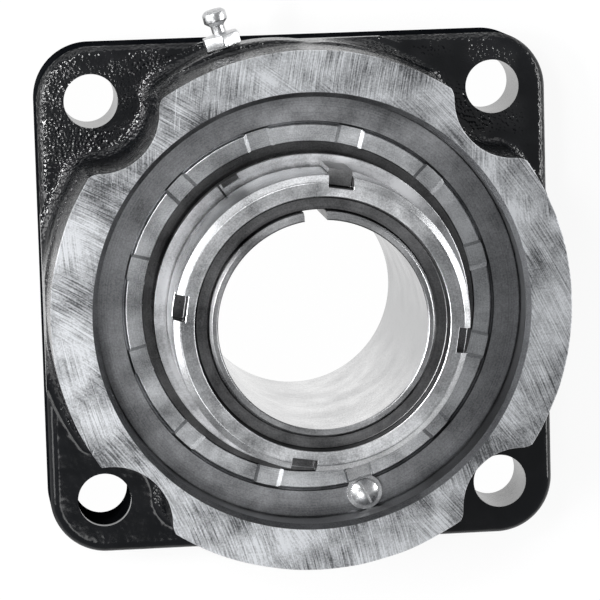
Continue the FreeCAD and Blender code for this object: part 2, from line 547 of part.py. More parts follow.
def make_lock_plate():
    body = new_body("lock_plate", "dims.lock_deg")
    tab = new_sketch(body, "lock_tab_sketch")
    draw_profile(tab, [("tab_tip_r", "tab_low_z"), ("neck_out_r", "tab_low_z"), ("neck_out_r", "land_z"),
                       ("lock_screw_r", "land_z"), ("lock_screw_r", "plate_top_z"),
                       ("neck_in_r", "plate_top_z"), ("neck_in_r", "tab_top_z"), ("tab_tip_r", "tab_top_z")])
    extrude(body, "lock_tab", tab, "tab_wide", both_ways=True)
    end = new_sketch(body, "lock_end_sketch", "XY_Plane", lift="dims.land_z")
    bind_circle(end, "plate_end_r", "lock_screw_r")
    extrude(body, "lock_end", end, "plate_thick")
    hole = new_sketch(body, "lock_hole_sketch", "XY_Plane")
    bind_circle(hole, "plate_hole_r", "lock_screw_r")
    extrude(body, "lock_hole", hole, None, "PartDesign::Pocket", reverse=True)
    return [body]


def make_lock_screw():
    body = new_body("lock_screw")
    place(body, "dims.lock_screw_r * cos(dims.lock_deg)", "dims.lock_screw_r * sin(dims.lock_deg)",
          turn="dims.screw_slot_deg")
    sketch = new_sketch(body, "lock_screw_sketch")
    draw_profile(sketch, [(0, "screw_low_z"), ("screw_shank_r", "screw_low_z"),
                          ("screw_shank_r", "plate_top_z"), ("screw_head_r", "plate_top_z"),
                          ("screw_head_r", "screw_brim_z"), (0, "screw_top_z")],
                 {4: (0, None, "screw_dome_z")})
    revolve(body, "lock_screw_turned", sketch)
    slot = new_sketch(body, "screw_slot_sketch", "XY_Plane", lift="dims.screw_top_z")
    draw_box(slot, "screw_slot_left", "screw_slot_right", "screw_slot_half")
    extrude(body, "screw_slot", slot, "screw_slot_deep", "PartDesign::Pocket")
    return [body]


# The bearing
def make_outer_ring():
    """Outer ring with a spherical race about the bearing's centre, an oil groove and its holes."""
    body = new_body("outer_ring")
    sketch = new_sketch(body, "outer_ring_sketch")
    draw_profile(sketch, [
        (None, "ring_rear_z", "race_r"), ("ring_od_r", "ring_rear_z"), ("ring_od_r", "oil_low_z"),
        ("oil_groove_r", "oil_low_z"), ("oil_groove_r", "oil_high_z"), ("ring_od_r", "oil_high_z"),
        ("ring_od_r", "ring_front_z"), (None, "ring_front_z", "race_r")],
        {7: (0, "centre_z", "race_r")})
    revolve(body, "outer_ring_turned", sketch)
    hole = new_sketch(body, "oil_hole_sketch", "YZ_Plane")
    bind_circle(hole, "oil_hole_r", None, "centre_z")
    pocket = extrude(body, "oil_hole", hole, None, "PartDesign::Pocket", reverse=True)
    repeat_about_z(body, "oil_holes", pocket, "oil_hole_count")
    return [body]


def make_inner_ring():
    body = new_body("inner_ring")
    sketch = new_sketch(body, "inner_ring_sketch")
    draw_profile(sketch, [
        ("taper_rear_r", "inner_rear_z"), ("collar_r", "inner_rear_z"), ("collar_r", "rear_rib_z"),
        (None, "rear_rib_low_z", "race_rib_r"), (None, "land_low_z", "race_land_r"),
        (None, "land_top_z", "race_land_r"), (None, "front_rib_low_z", "race_rib_r"),
        ("collar_r", "front_rib_z"), ("collar_r", "groove_low_z"),
        ("groove_r", "groove_low_z"), ("groove_r", "groove_top_z"), ("collar_r", "groove_top_z"),
        ("collar_r", "inner_front_z"), ("taper_small_r", "inner_front_z"), ("taper_small_r", "taper_end_z")],
        {3: ("inner_crown_x", "rear_crown_z", "inner_crown_r"),
         5: ("inner_crown_x", "front_crown_z", "inner_crown_r")})
    revolve(body, "inner_ring_turned", sketch)
    return [body]


def roller_place(body, number, front):
    """Front rows turn about the bore; rear rows are the same shape turned over about a line across it."""
    if front:
        place(body, z="dims.centre_z", turn="%d * 360 / dims.roller_count" % number)
        return
    half_turn = "(%d.5 * 180 / dims.roller_count)" % number
    place(body, z="dims.centre_z", turn="180", axis="cos%s; sin%s; 0" % (half_turn, half_turn))


def make_roller(label, number, front):
    """A barrel roller whose axis leans by the contact angle; its crown is drawn as three straight bands."""
    body = new_body(label)
    sketch = new_sketch(body, label + "_sketch", across="dims.roller_pitch_r", along="dims.roller_step",
                        turn="dims.contact_deg")
    draw_profile(sketch, [(0, "roller_low"), ("roller_end_r", "roller_low"),
                          ("roller_flank_r", "roller_flank_low"), ("roller_belly_r", "roller_belly_low"),
                          ("roller_belly_r", "roller_belly"), ("roller_flank_r", "roller_flank"),
                          ("roller_end_r", "roller_half"), (0, "roller_half")])
    revolve(body, label + "_turned", sketch)
    roller_place(body, number, front)
    return body


def make_rollers():
    rollers = []
    for row, front in (("front", True), ("rear", False)):
        for number in range(int(size("roller_count"))):
            rollers.append(make_roller("roller_%s_%02d" % (row, number + 1), number, front))
    return rollers


def make_cage(label, front):
    """A coned band with a window for each roller."""
    body = new_body(label)
    sketch = new_sketch(body, label + "_sketch")
    draw_profile(sketch, [("cage_in_low_r", "cage_in_z"), ("cage_in_high_r", "cage_in_z"),
                          ("cage_out_high_r", "cage_out_z"), ("cage_out_low_r", "cage_out_z")])
    revolve(body, label + "_band", sketch)
    window = new_sketch(body, label + "_window_sketch", "YZ_Plane", lift="dims.cage_cut_r")
    draw_profile(window, [("window_left", "window_in_z"), ("window_half", "window_in_z"),
                          ("window_half", "window_out_z"), ("window_left", "window_out_z")])
    pocket = extrude(body, label + "_window", window, "cage_cut_long", "PartDesign::Pocket", reverse=True)
    repeat_about_z(body, label + "_windows", pocket, "roller_count")
    roller_place(body, 0, front)
    return body


def make_guide_ring():
    body = new_body("guide_ring")
    sketch = new_sketch(body, "guide_ring_sketch")
    draw_profile(sketch, [("guide_in_r", "guide_low_z"), ("guide_out_r", "guide_low_z"),
                          ("guide_out_r", "guide_top_z"), ("guide_in_r", "guide_top_z")])
    revolve(body, "guide_ring_turned", sketch)
    return body


# Adapter sleeve, locknut and washer
def make_adapter_sleeve():
    """The tapered split sleeve that grips the shaft; its slit is seen at the top of the bore."""
    body = new_body("adapter_sleeve", "dims.slit_deg")
    sketch = new_sketch(body, "adapter_sleeve_sketch")
    draw_profile(sketch, [
        ("sleeve_mouth_r", "sleeve_rear_z"), ("sleeve_rear_r", "sleeve_rear_z"),
        ("sleeve_small_r", "taper_end_z"), ("sleeve_thread_r", "taper_end_z"),
        ("sleeve_thread_r", "sleeve_high_z"), ("sleeve_end_r", "sleeve_front_z"),
        ("sleeve_mouth_r", "sleeve_front_z"), ("bore_r", "sleeve_high_z"), ("bore_r", "sleeve_low_z")])
    revolve(body, "adapter_sleeve_turned", sketch)
    slit = new_sketch(body, "slit_sketch", "XY_Plane")
    draw_box(slit, "slit_in_r", "slit_out_r", "slit_half")
    extrude(body, "slit", slit, None, "PartDesign::Pocket", reverse=True)
    return [body]


def make_lock_nut():
    body = new_body("lock_nut", "dims.nut_slot_deg")
    sketch = new_sketch(body, "lock_nut_sketch")
    draw_profile(sketch, [
        ("nut_thread_r", "nut_rear_z"), ("nut_r", "nut_rear_z"), ("nut_r", "nut_edge_z"),
        ("nut_edge_r", "nut_front_z"), ("nut_recess_r", "nut_front_z"), ("nut_floor_r", "nut_floor_z"),
        ("nut_thread_r", "nut_floor_z")])
    revolve(body, "lock_nut_turned", sketch)
    slot = new_sketch(body, "nut_slot_sketch", "XY_Plane", lift="dims.nut_front_z")
    draw_box(slot, "nut_slot_r", "nut_slot_out_r", "nut_slot_half")
    pocket = extrude(body, "nut_slot", slot, "nut_slot_deep", "PartDesign::Pocket")
    repeat_about_z(body, "nut_slots", pocket, "nut_slot_count")
    return [body]


def make_lock_washer():
    """Flat washer with a tongue in the sleeve's slit and one tang folded into the nut's top slot."""
    body = new_body("lock_washer", "dims.nut_slot_deg")
    ring = new_sketch(body, "washer_sketch")
    draw_profile(ring, [("washer_in_r", "washer_low_z"), ("washer_r", "washer_low_z"),
                        ("washer_r", "washer_top_z"), ("washer_in_r", "washer_top_z")])
    revolve(body, "washer_ring", ring)
    tang = new_sketch(body, "tang_sketch")
    draw_profile(tang, [("tang_root_r", "washer_low_z"), ("tang_out_r", "washer_low_z"),
                        ("tang_out_r", "tang_top_z"), ("tang_tip_r", "tang_top_z"),
                        ("tang_tip_r", "tang_low_z"), ("tang_in_r", "tang_low_z"),
                        ("tang_in_r", "washer_top_z"), ("tang_root_r", "washer_top_z")])
    extrude(body, "tang", tang, "tang_wide", both_ways=True)
    tongue = new_sketch(body, "tongue_sketch", "XY_Plane", lift="dims.washer_low_z",
                        turn="dims.slit_deg - dims.nut_slot_deg")
    draw_box(tongue, "tongue_tip_r", "tongue_root_r", "tongue_half")
    extrude(body, "tongue", tongue, "washer_thick")
    return [body]


# Retaining ring, flinger and floating seals
def make_retaining_ring():
    """A split ring in the inner ring's groove, with a notch for the tool beside its split."""
    body = new_body("retaining_ring", "dims.snap_deg")
    sketch = new_sketch(body, "retaining_ring_sketch")
    draw_profile(sketch, [("snap_in_r", "snap_low_z"), ("snap_out_r", "snap_low_z"),
                          ("snap_out_r", "snap_top_z"), ("snap_in_r", "snap_top_z")])
    revolve(body, "retaining_ring_turned", sketch)
    split = new_sketch(body, "snap_split_sketch", "XY_Plane")
    draw_box(split, "snap_cut_in_r", "snap_cut_out_r", "snap_split_half")
    extrude(body, "snap_split_cut", split, None, "PartDesign::Pocket", reverse=True)
    notch = new_sketch(body, "snap_notch_sketch", "XY_Plane", turn="-dims.snap_notch_turn")
    draw_box(notch, "snap_notch_r", "snap_cut_out_r", "snap_notch_half")
    extrude(body, "snap_notch", notch, None, "PartDesign::Pocket", reverse=True)
    return [body]


def make_flinger():
    body = new_body("flinger")
    sketch = new_sketch(body, "flinger_sketch")
    draw_profile(sketch, [
        ("flinger_in_r", "flinger_low_z"), ("flinger_hub_r", "flinger_low_z"),
        ("flinger_hub_r", "flinger_disc_z"), ("flinger_skirt_r", "flinger_disc_z"),
        ("flinger_skirt_r", "flinger_skirt_z"), ("flinger_out_r", "flinger_skirt_z"),
        ("flinger_out_r", "flinger_top_z"), ("flinger_in_r", "flinger_top_z")])
    revolve(body, "flinger_turned", sketch)
    return [body]


def make_front_seal():
    """A floating ring whose rim is turned to a sphere about the bearing's centre."""
    body = new_body("front_seal")
    sketch = new_sketch(body, "front_seal_sketch")
    draw_profile(sketch, [
        ("seal_bore_r", "seal_low_z"), (None, "seal_low_z", "ring_nut_foot_r"),
        (None, "seal_top_z", "ring_nut_edge_r"), ("seal_groove_out", "seal_top_z"),
        ("seal_groove_out", "seal_groove_z"), ("seal_groove_in", "seal_groove_z"),
        ("seal_groove_in", "seal_top_z"), ("seal_bore_r", "seal_top_z")],
        {1: (0, "centre_z", "seal_sphere_r")})
    revolve(body, "front_seal_turned", sketch)
    return [body]


def make_rear_seal():
    body = new_body("rear_seal")
    sketch = new_sketch(body, "rear_seal_sketch")
    draw_profile(sketch, [("seal_bore_r", "rear_seal_low_z"), (None, "rear_seal_low_z", "rear_open_r"),
                          (None, "rear_seal_top_z", "rear_open_r"), ("seal_bore_r", "rear_seal_top_z")],
                 {1: (0, "centre_z", "rear_seal_sphere_r")})
    revolve(body, "rear_seal_turned", sketch)
    return [body]


# Grease fitting: its own Z axis points out of the pad
def place_on_pad(item, out="0"):
    reach = "(dims.pad_face_r + %s)" % out
    place(item, reach + " * cos(dims.fitting_deg)", reach + " * sin(dims.fitting_deg)", "dims.centre_z",
          "90", "-sin(dims.fitting_deg); cos(dims.fitting_deg); 0")


def make_grease_fitting():
    body = new_body("grease_fitting")
    place_on_pad(body)
    sketch = new_sketch(body, "fitting_sketch")
    draw_profile(sketch, [
        ("fitting_passage_r", "fitting_end_z"), ("fitting_shank_r", "fitting_end_z"),
        ("fitting_shank_r", "fitting_hex_high"), ("fitting_neck_r", "fitting_hex_high"),
        ("fitting_neck_r", "fitting_neck_top"), ("fitting_head_r", "fitting_head_low"),
        ("fitting_head_r", "fitting_head_high"), ("fitting_tip_r", "fitting_tip_z"),
        ("fitting_mouth_r", "fitting_tip_z"), ("fitting_mouth_r", "fitting_seat_z"),
        ("fitting_chamber_r", "fitting_seat_z"), ("fitting_chamber_r", "fitting_floor_z"),
        ("fitting_passage_r", "fitting_floor_z")])
    revolve(body, "fitting_turned", sketch)
    hexagon = new_sketch(body, "hexagon_sketch", "XY_Plane")
    draw_hexagon(hexagon, "hex_corner_r")
    extrude(body, "hexagon", hexagon, "fitting_hex_high")
    bore = new_sketch(body, "fitting_bore_sketch", "XY_Plane")
    bind_circle(bore, "fitting_passage_r")
    extrude(body, "fitting_bore", bore, "fitting_hex_high", "PartDesign::Pocket", reverse=True)
    return [body]


def draw_hexagon(sketch, corner_radius):
    """A hexagon about the origin with two corners on the sketch's X axis."""
    radius = size(corner_radius)
    corners = [Vector(radius * math.cos(i * math.pi / 3), radius * math.sin(i * math.pi / 3), 0)
               for i in range(6)]
    for index in range(6):
        sketch.addGeometry(Part.LineSegment(corners[index], corners[(index + 1) % 6]), False)
    ring = sketch.addGeometry(Part.Circle(Vector(0, 0, 0), Vector(0, 0, 1), radius), True)
    sketch.addConstraint(Sketcher.Constraint("Coincident", ring, 3, -1, 1))
    bind(sketch, "Radius", "corner_radius", "dims." + corner_radius, ring, radius)
    for index in range(6):
        sketch.addConstraint(Sketcher.Constraint("Coincident", index, 2, (index + 1) % 6, 1))
        sketch.addConstraint(Sketcher.Constraint("PointOnObject", index, 1, ring))
    for index in range(5):
        sketch.addConstraint(Sketcher.Constraint("Equal", index, index + 1))
    sketch.addConstraint(Sketcher.Constraint("PointOnObject", 0, 1, -1))


def make_fitting_ball():
    ball = doc.addObject("Part::Sphere", "fitting_ball")
    ball.setExpression("Radius", "dims.ball_r")
    place_on_pad(ball, "dims.ball_z")
    doc.recompute()
    return [ball]


def make_fitting_spring():
    body = new_body("fitting_spring")
    place_on_pad(body)
    sketch = new_sketch(body, "wire_sketch")
    bind_circle(sketch, "wire_r", "spring_r", "spring_low_z")
    coil = body.newObject("PartDesign::AdditiveHelix", "coil")
    coil.Profile = sketch
    coil.ReferenceAxis = (sketch, ["V_Axis"])
    coil.Mode = "height-turns-angle"
    coil.setExpression("Height", "dims.spring_long")
    coil.setExpression("Turns", "dims.spring_turns")
    doc.recompute()
    return [body]


def check(items):
    broken = [item.Name + " " + item.getStatusString() for item in doc.Objects
              if "Invalid" in item.State or "Error" in item.State]
    if broken:
        raise RuntimeError("; ".join(broken))
    for item in items:
        shape = item.Shape
        if shape.isNull() or not shape.isValid() or len(shape.Solids) != 1:
            raise RuntimeError("%s is not one valid solid" % item.Label)


def main():
    fill_sheet()
    items = make_housing() + make_adjusting_ring() + make_lock_plate() + make_lock_screw()
    items += make_outer_ring() + make_inner_ring() + make_rollers()
    items += [make_cage("cage_front", True), make_cage("cage_rear", False), make_guide_ring()]
    items += make_adapter_sleeve() + make_lock_nut() + make_lock_washer() + make_retaining_ring()
    items += make_flinger() + make_front_seal() + make_rear_seal()
    items += make_grease_fitting() + make_fitting_ball() + make_fitting_spring()
    doc.recompute()
    check(items)
    for item in items:
        item.Shape.exportStep("parts/%s.step" % item.Label)
        print("%s %.1f" % (item.Label, item.Shape.Volume))


main()
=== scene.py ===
import bmesh
import bpy
import math
import numpy as np
from mathutils import Matrix, Vector, noise


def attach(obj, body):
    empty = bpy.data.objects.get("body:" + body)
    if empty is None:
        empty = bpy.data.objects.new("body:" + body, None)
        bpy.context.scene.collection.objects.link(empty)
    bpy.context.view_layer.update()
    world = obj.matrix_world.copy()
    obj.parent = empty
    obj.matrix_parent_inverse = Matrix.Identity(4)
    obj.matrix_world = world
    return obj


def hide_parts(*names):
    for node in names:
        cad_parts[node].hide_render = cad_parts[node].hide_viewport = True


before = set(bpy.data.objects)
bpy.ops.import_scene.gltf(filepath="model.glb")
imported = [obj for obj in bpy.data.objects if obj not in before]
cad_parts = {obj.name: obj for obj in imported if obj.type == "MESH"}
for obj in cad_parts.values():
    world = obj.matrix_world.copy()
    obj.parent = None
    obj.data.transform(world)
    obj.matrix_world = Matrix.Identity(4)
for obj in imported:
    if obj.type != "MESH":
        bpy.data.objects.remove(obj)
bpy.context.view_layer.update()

# The camera and the studio: the unit lies on its flange's back and is seen steeply from above, a little from
# the upper left. The stage is a pale sheet under soft lamps, and the metal mirrors the sheet as white and the
# room as a dim grey.
MM = 0.001
CAMERA_X = Vector((0.99338, -0.02729, 0.11167))
CAMERA_Y = Vector((0.04287, 0.98925, -0.13954))
CAMERA_Z = Vector((-0.10668, 0.14340, 0.98385))
SLEEVE_TIP = Vector((0, 0, 108 * MM))
TIP_IN_VIEW = Vector((8.3 * MM, -8.9 * MM, -1300 * MM))
FOCAL_PIXELS, IMAGE_PIXELS, SENSOR, CLIP_NEAR, CLIP_FAR = 3686, 600, 36, 0.01, 20
SHEET_HALF, SHEET_LEVEL, SHEET_PAPER = 1.5, -0.0003, (0.9, 0.9, 0.9, 1)
SHEET_WHITE, UNIT_HALF, PAINTED_LIGHT_UNDER_UNIT = 0.87, 0.088, 0.12
ROOM_COLOUR, ROOM_GLOW, WHITE = (0.97, 0.985, 1, 1), 0.38, (1, 1, 1, 1)


def placed(name, data):
    """Puts a mesh, a lamp or a camera into the scene."""
    item = bpy.data.objects.new(name, data)
    bpy.context.scene.collection.objects.link(item)
    return item


lens = bpy.data.cameras.new("studio_camera")
lens.sensor_width = SENSOR
lens.lens = FOCAL_PIXELS / IMAGE_PIXELS * SENSOR
lens.clip_start, lens.clip_end = CLIP_NEAR, CLIP_FAR
camera = placed("studio_camera", lens)
eye = SLEEVE_TIP - TIP_IN_VIEW.x * CAMERA_X - TIP_IN_VIEW.y * CAMERA_Y - TIP_IN_VIEW.z * CAMERA_Z
camera.matrix_world = Matrix.Translation(eye) @ Matrix((CAMERA_X, CAMERA_Y, CAMERA_Z)).transposed().to_4x4()
bpy.context.scene.camera = camera
bpy.context.scene.view_settings.view_transform = "Standard"


def node(tree, kind, inputs=None, **settings):
    """Adds a node; each input is filled with a value or joined to another node's socket."""
    item = tree.nodes.new(kind)
    for name, value in settings.items():
        setattr(item, name, value)
    for key, value in (inputs or {}).items():
        if isinstance(value, bpy.types.NodeSocket):
            tree.links.new(value, item.inputs[key])
        else:
            item.inputs[key].default_value = value
    return item


def sums(tree, operation, *values, clamp=False):
    """One step of arithmetic on numbers or sockets."""
    inputs = dict(enumerate(values))
    return node(tree, "ShaderNodeMath", inputs, operation=operation, use_clamp=clamp).outputs[0]


def empty_material(name):
    material = bpy.data.materials.new(name)
    material.use_nodes = True
    material.node_tree.nodes.clear()
    return material, material.node_tree


def white_for_views(tree, surface, share):
    """The plain surface for light that falls on things, and mostly white for what is seen or mirrored."""
    path = node(tree, "ShaderNodeLightPath")
    seen = sums(tree, "MAXIMUM", path.outputs["Is Camera Ray"], path.outputs["Is Glossy Ray"])
    seen = sums(tree, "MAXIMUM", seen, path.outputs["Is Transmission Ray"])
    white = node(tree, "ShaderNodeEmission", {"Color": WHITE, "Strength": 1.0})
    whiteness = sums(tree, "MULTIPLY", seen, share)
    return node(tree, "ShaderNodeMixShader", {0: whiteness, 1: surface, 2: white.outputs[0]}).outputs[0]


sheet_mesh = bpy.data.meshes.new("pale_sheet")
sheet_mesh.from_pydata([(x * SHEET_HALF, y * SHEET_HALF, SHEET_LEVEL)
                        for x, y in ((-1, -1), (1, -1), (1, 1), (-1, 1))], [], [(0, 1, 2, 3)])
pale_sheet = placed("pale_sheet", sheet_mesh)
sheet_material, tree = empty_material("pale_sheet")
place = node(tree, "ShaderNodeTexCoord").outputs["Object"]
away = node(tree, "ShaderNodeSeparateXYZ", {
    0: node(tree, "ShaderNodeVectorMath", {0: place}, operation="ABSOLUTE").outputs[0]})
# Painted light: within the unit's footprint the sheet glows whiter still, which takes the shade out of the
# bore and the bolt holes.
under_unit = sums(tree, "LESS_THAN", sums(tree, "MAXIMUM", away.outputs[0], away.outputs[1]), UNIT_HALF)
white_share = sums(tree, "ADD", sums(tree, "MULTIPLY", under_unit, PAINTED_LIGHT_UNDER_UNIT), SHEET_WHITE)
paper = node(tree, "ShaderNodeBsdfDiffuse", {"Color": SHEET_PAPER})
node(tree, "ShaderNodeOutputMaterial", {0: white_for_views(tree, paper.outputs[0], white_share)})
sheet_mesh.materials.append(sheet_material)

room = bpy.data.worlds.new("studio_room")
room.use_nodes = True
tree = room.node_tree
tree.nodes.clear()
seen = node(tree, "ShaderNodeLightPath").outputs["Is Camera Ray"]
wall = node(tree, "ShaderNodeBackground", {"Color": ROOM_COLOUR, "Strength": ROOM_GLOW})
white = node(tree, "ShaderNodeBackground", {"Color": WHITE, "Strength": 1.0})
mix = node(tree, "ShaderNodeMixShader", {0: seen, 1: wall.outputs[0], 2: white.outputs[0]})
node(tree, "ShaderNodeOutputWorld", {0: mix.outputs[0]})
bpy.context.scene.world = room


def lamp(name, spot, aim, wide, high, watts):
    """A rectangular soft lamp at spot that shines at aim, in metres."""
    data = bpy.data.lights.new(name, "AREA")
    data.shape, data.size, data.size_y, data.energy = "RECTANGLE", wide, high, watts
    item = placed(name, data)
    item.location = spot
    item.rotation_euler = (Vector(aim) - Vector(spot)).to_track_quat("-Z", "Y").to_euler()


lamp("left_softbox", (-1.0, 0.15, 0.35), (0, 0, 0.08), wide=1.0, high=0.35, watts=6)
lamp("left_strip", (-0.75, 0.1, 0.95), (-0.05, 0.03, 0.03), wide=0.4, high=0.08, watts=7)
lamp("right_softbox", (1.0, 0.1, 0.25), (0, 0, 0.08), wide=0.8, high=0.25, watts=5)
lamp("right_strip", (0.95, 0.08, 0.65), (0.05, 0.03, 0.03), wide=0.4, high=0.08, watts=3)
lamp("back_softbox", (-0.1, 1.05, 0.35), (0, 0, 0.08), wide=1.3, high=0.4, watts=2)
lamp("key_box", (-0.5, 0.44, 1.2), (0, 0, 0.05), wide=0.24, high=0.24, watts=5)
lamp("low_box", (-0.3, -0.5, 1.25), (0, 0, 0.05), wide=0.45, high=0.3, watts=2.5)

# The casting: one piece of grey iron with a square flange, a scalloped boss on a rounded root and a low pad
# for the grease fitting. It is dipped in gloss black; then the front face, the mouth, the bores, the bolt
# holes and the back are machined. The lower left bolt hole has kept its paint.
FLANGE_HALF, FLANGE_CORNER, FLANGE_TOP, FLANGE_ROUND, FLANGE_FOOT = 95.25, 21.0, 27.0, 4.0, 0.6
BOSS_R, BOSS_TOP_R, STEP_LOW, STEP_HIGH, FACE = 95.9, 95.0, 46.0, 46.9, 77.0
BOLT_AT, BOLT_HOLE_R, SCALLOP_R, SCALLOP_CORNER, SHARP_CORNER = 75.0, 10.0, 21.7, 8.0, 3.0
BOLT_REACH = math.hypot(BOLT_AT, BOLT_AT)
ROOT_R, ROOT_STEPS, ROUND_STEPS, SPHERE_STEPS, CASTING_RAYS = 5.0, 8, 9, 8, 1080
RIM_RAGGED, RIM_WAVES, RIM_SEED, RIM_INSET, RIM_FADE = 0.16, 9, 4.2, 0.15, 9.5
RIM_BEVEL_WIDE, RIM_BEVEL_DEEP, RIM_BAND, SIDE_CLEAR = 0.35, 0.5, 0.6, 4
MOUTH_R, MOUTH_BEVEL, MOUTH_FOOT, LAND = 78.0, 1.8, 0.5, 63.0
BEARING_Z, SEAT_R, SEAT_LOW, THREAD_LOW, THREAD_R, THREAD_BEVEL = 38.0, 65.03, 21.0, 54.65, 67.5, 0.8
REAR_R, REAR_SPHERE_R, REAR_EDGE = 55.0, 62.0, 0.5
FITTING_ANGLE, PAD_AT, PAD_R, PAD_HALF, PAD_LOW, PAD_TOP = math.radians(105.5), 30.8, 66.8, 35.0, 29.5, 45.6
PAD_SOFT, PAD_BURIED, PAD_STEPS = 1.2, 12, 48
TAP_R, TAP_DEEP, TAP_OVER, GREASE_R, GREASE_OVER = 5.05, 9.0, 4, 2.2, 1
LOCK_ANGLE, LOCK_SCREW_AT, SCREW_HOLE_R, SCREW_HOLE_LOW = math.radians(285), 71.5, 2.45, 54.6
DRILL_LOW, DRILL_HIGH, PUNCH_LOW, PUNCH_HIGH = -5, 60, 55, 70
PAINTED, MILLED, BORED, DRILLED = range(4)
HOLE_WALL_NEAR, BACK_NEAR, FACE_NEAR = 0.3, 0.2, 0.45


def facing_out(mesh, merge=0.0):
    """Merges points closer than merge metres, and turns every face outwards."""
    shape = bmesh.new()
    shape.from_mesh(mesh)
    if merge:
        bmesh.ops.remove_doubles(shape, verts=shape.verts, dist=merge)
    bmesh.ops.recalc_face_normals(shape, faces=shape.faces)
    shape.to_mesh(mesh)
    shape.free()
    return mesh


def in_millimetres(name, points, faces):
    mesh = bpy.data.meshes.new(name)
    mesh.from_pydata([(x * MM, y * MM, z * MM) for x, y, z in points], [], faces)
    return mesh


def joined_loops(loops, count):
    """Faces that join closed loops of count points each, the last loop to the first."""
    faces = []
    for loop in range(loops):
        beside = (loop + 1) % loops
        for index in range(count):
            follower = (index + 1) % count
            faces.append((loop * count + index, beside * count + index, beside * count + follower,
                          loop * count + follower))
    return faces


def riding(name, mesh, body, *materials):
    """A piece of the unit: its mesh at the origin with its materials, moving with its body."""
    for material in materials:
        mesh.materials.append(material)
    piece = placed(name, mesh)
    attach(piece, body)
    return piece


def baked(piece):
    """Applies the piece's modifiers to its mesh."""
    bpy.context.view_layer.update()
    mesh = bpy.data.meshes.new_from_object(piece.evaluated_get(bpy.context.evaluated_depsgraph_get()))
    piece.modifiers.clear()
    piece.data = mesh
    return piece


def smooth_but_edges(piece, degrees=13):
    mesh = piece.data
    mesh.shade_smooth()
    mesh.set_sharp_from_angle(angle=math.radians(degrees))


def boolean(piece, tool, operation):
    modifier = piece.modifiers.new(operation.lower(), "BOOLEAN")
    modifier.operation, modifier.object, modifier.solver = operation, tool, "EXACT"
    baked(piece)
    bpy.data.objects.remove(tool)


def post(name, radius, low, high, turn=Matrix.Identity(4), sides=96):
    """A plain round cutter in millimetres, standing on low."""
    shape = bmesh.new()
    middle = Matrix.Translation((0, 0, (low + high) / 2 * MM))
    bmesh.ops.create_cone(shape, cap_ends=True, segments=sides, radius1=radius * MM, radius2=radius * MM,
                          depth=(high - low) * MM, matrix=turn @ middle)
    mesh = bpy.data.meshes.new(name)
    shape.to_mesh(mesh)
    shape.free()
    return placed(name, mesh)


def moved(x, y):
    return Matrix.Translation((x * MM, y * MM, 0))


def square_reach(angle, inset=0.0):
    """How far the flange's rounded square, drawn in by inset, reaches along each angle."""
    half, corner = FLANGE_HALF - inset, FLANGE_CORNER - inset
    turn = np.abs((angle + math.pi / 4) % (math.pi / 2) - math.pi / 4)
    flat = half / np.cos(turn)
    middle = math.hypot(half - corner, half - corner)
    off = math.pi / 4 - turn
    rounded_part = middle * np.cos(off) + np.sqrt(np.maximum(corner ** 2 - (middle * np.sin(off)) ** 2, 0))
    return np.where(flat * np.sin(turn) > half - corner, rounded_part, flat)


def boss_reach(angle, grown=0.0):
    """How far the boss's scalloped outline, grown by that much, reaches along each angle."""
    reach = np.full(angle.shape, BOSS_R + grown)
    for quarter in range(4):
        bolt_angle = math.pi / 4 + quarter * math.pi / 2
        off = (angle - bolt_angle + math.pi) % (2 * math.pi) - math.pi
        for side in (-1, 1):
            corner = SHARP_CORNER if quarter == 2 and side == -1 else SCALLOP_CORNER
            inner, outer = BOSS_R - corner, SCALLOP_R + corner
            turn = math.acos((inner ** 2 + BOLT_REACH ** 2 - outer ** 2) / (2 * inner * BOLT_REACH))
            round_r, hollow_r = corner + grown, SCALLOP_R - grown
            touch_x = BOLT_REACH + (inner * math.cos(turn) - BOLT_REACH) * hollow_r / outer
            touch_y = inner * math.sin(turn) * hollow_r / outer
            touch = math.atan2(touch_y, touch_x)
            lean = off * side
            on_corner = inner * np.cos(lean - turn) + np.sqrt(
                np.maximum(round_r ** 2 - (inner * np.sin(lean - turn)) ** 2, 0))
            in_hollow = BOLT_REACH * np.cos(lean) - np.sqrt(
                np.maximum(hollow_r ** 2 - (BOLT_REACH * np.sin(lean)) ** 2, 0))
            reach = np.where((lean >= 0) & (lean < touch), in_hollow, reach)
            reach = np.where((lean >= touch) & (lean < turn), on_corner, reach)
    return reach


def casting_bore():
    """The bored inside, from the back's opening up through the seats and the thread to the mouth."""
    corners = [(REAR_R + REAR_EDGE, 0), (REAR_R, REAR_EDGE)]
    low_lean = math.asin((BEARING_Z - SEAT_LOW) / REAR_SPHERE_R)
    high_lean = math.acos(REAR_R / REAR_SPHERE_R)
    for step in range(SPHERE_STEPS + 1):
        lean = high_lean + (low_lean - high_lean) * step / SPHERE_STEPS
        corners.append((REAR_SPHERE_R * math.cos(lean), BEARING_Z - REAR_SPHERE_R * math.sin(lean)))
    return corners + [(SEAT_R, SEAT_LOW), (SEAT_R, THREAD_LOW), (THREAD_R, THREAD_LOW),
                      (THREAD_R, LAND - THREAD_BEVEL), (THREAD_R + THREAD_BEVEL, LAND),
                      (MOUTH_R - MOUTH_FOOT, LAND), (MOUTH_R, LAND + MOUTH_FOOT),
                      (MOUTH_R, FACE - MOUTH_BEVEL)]


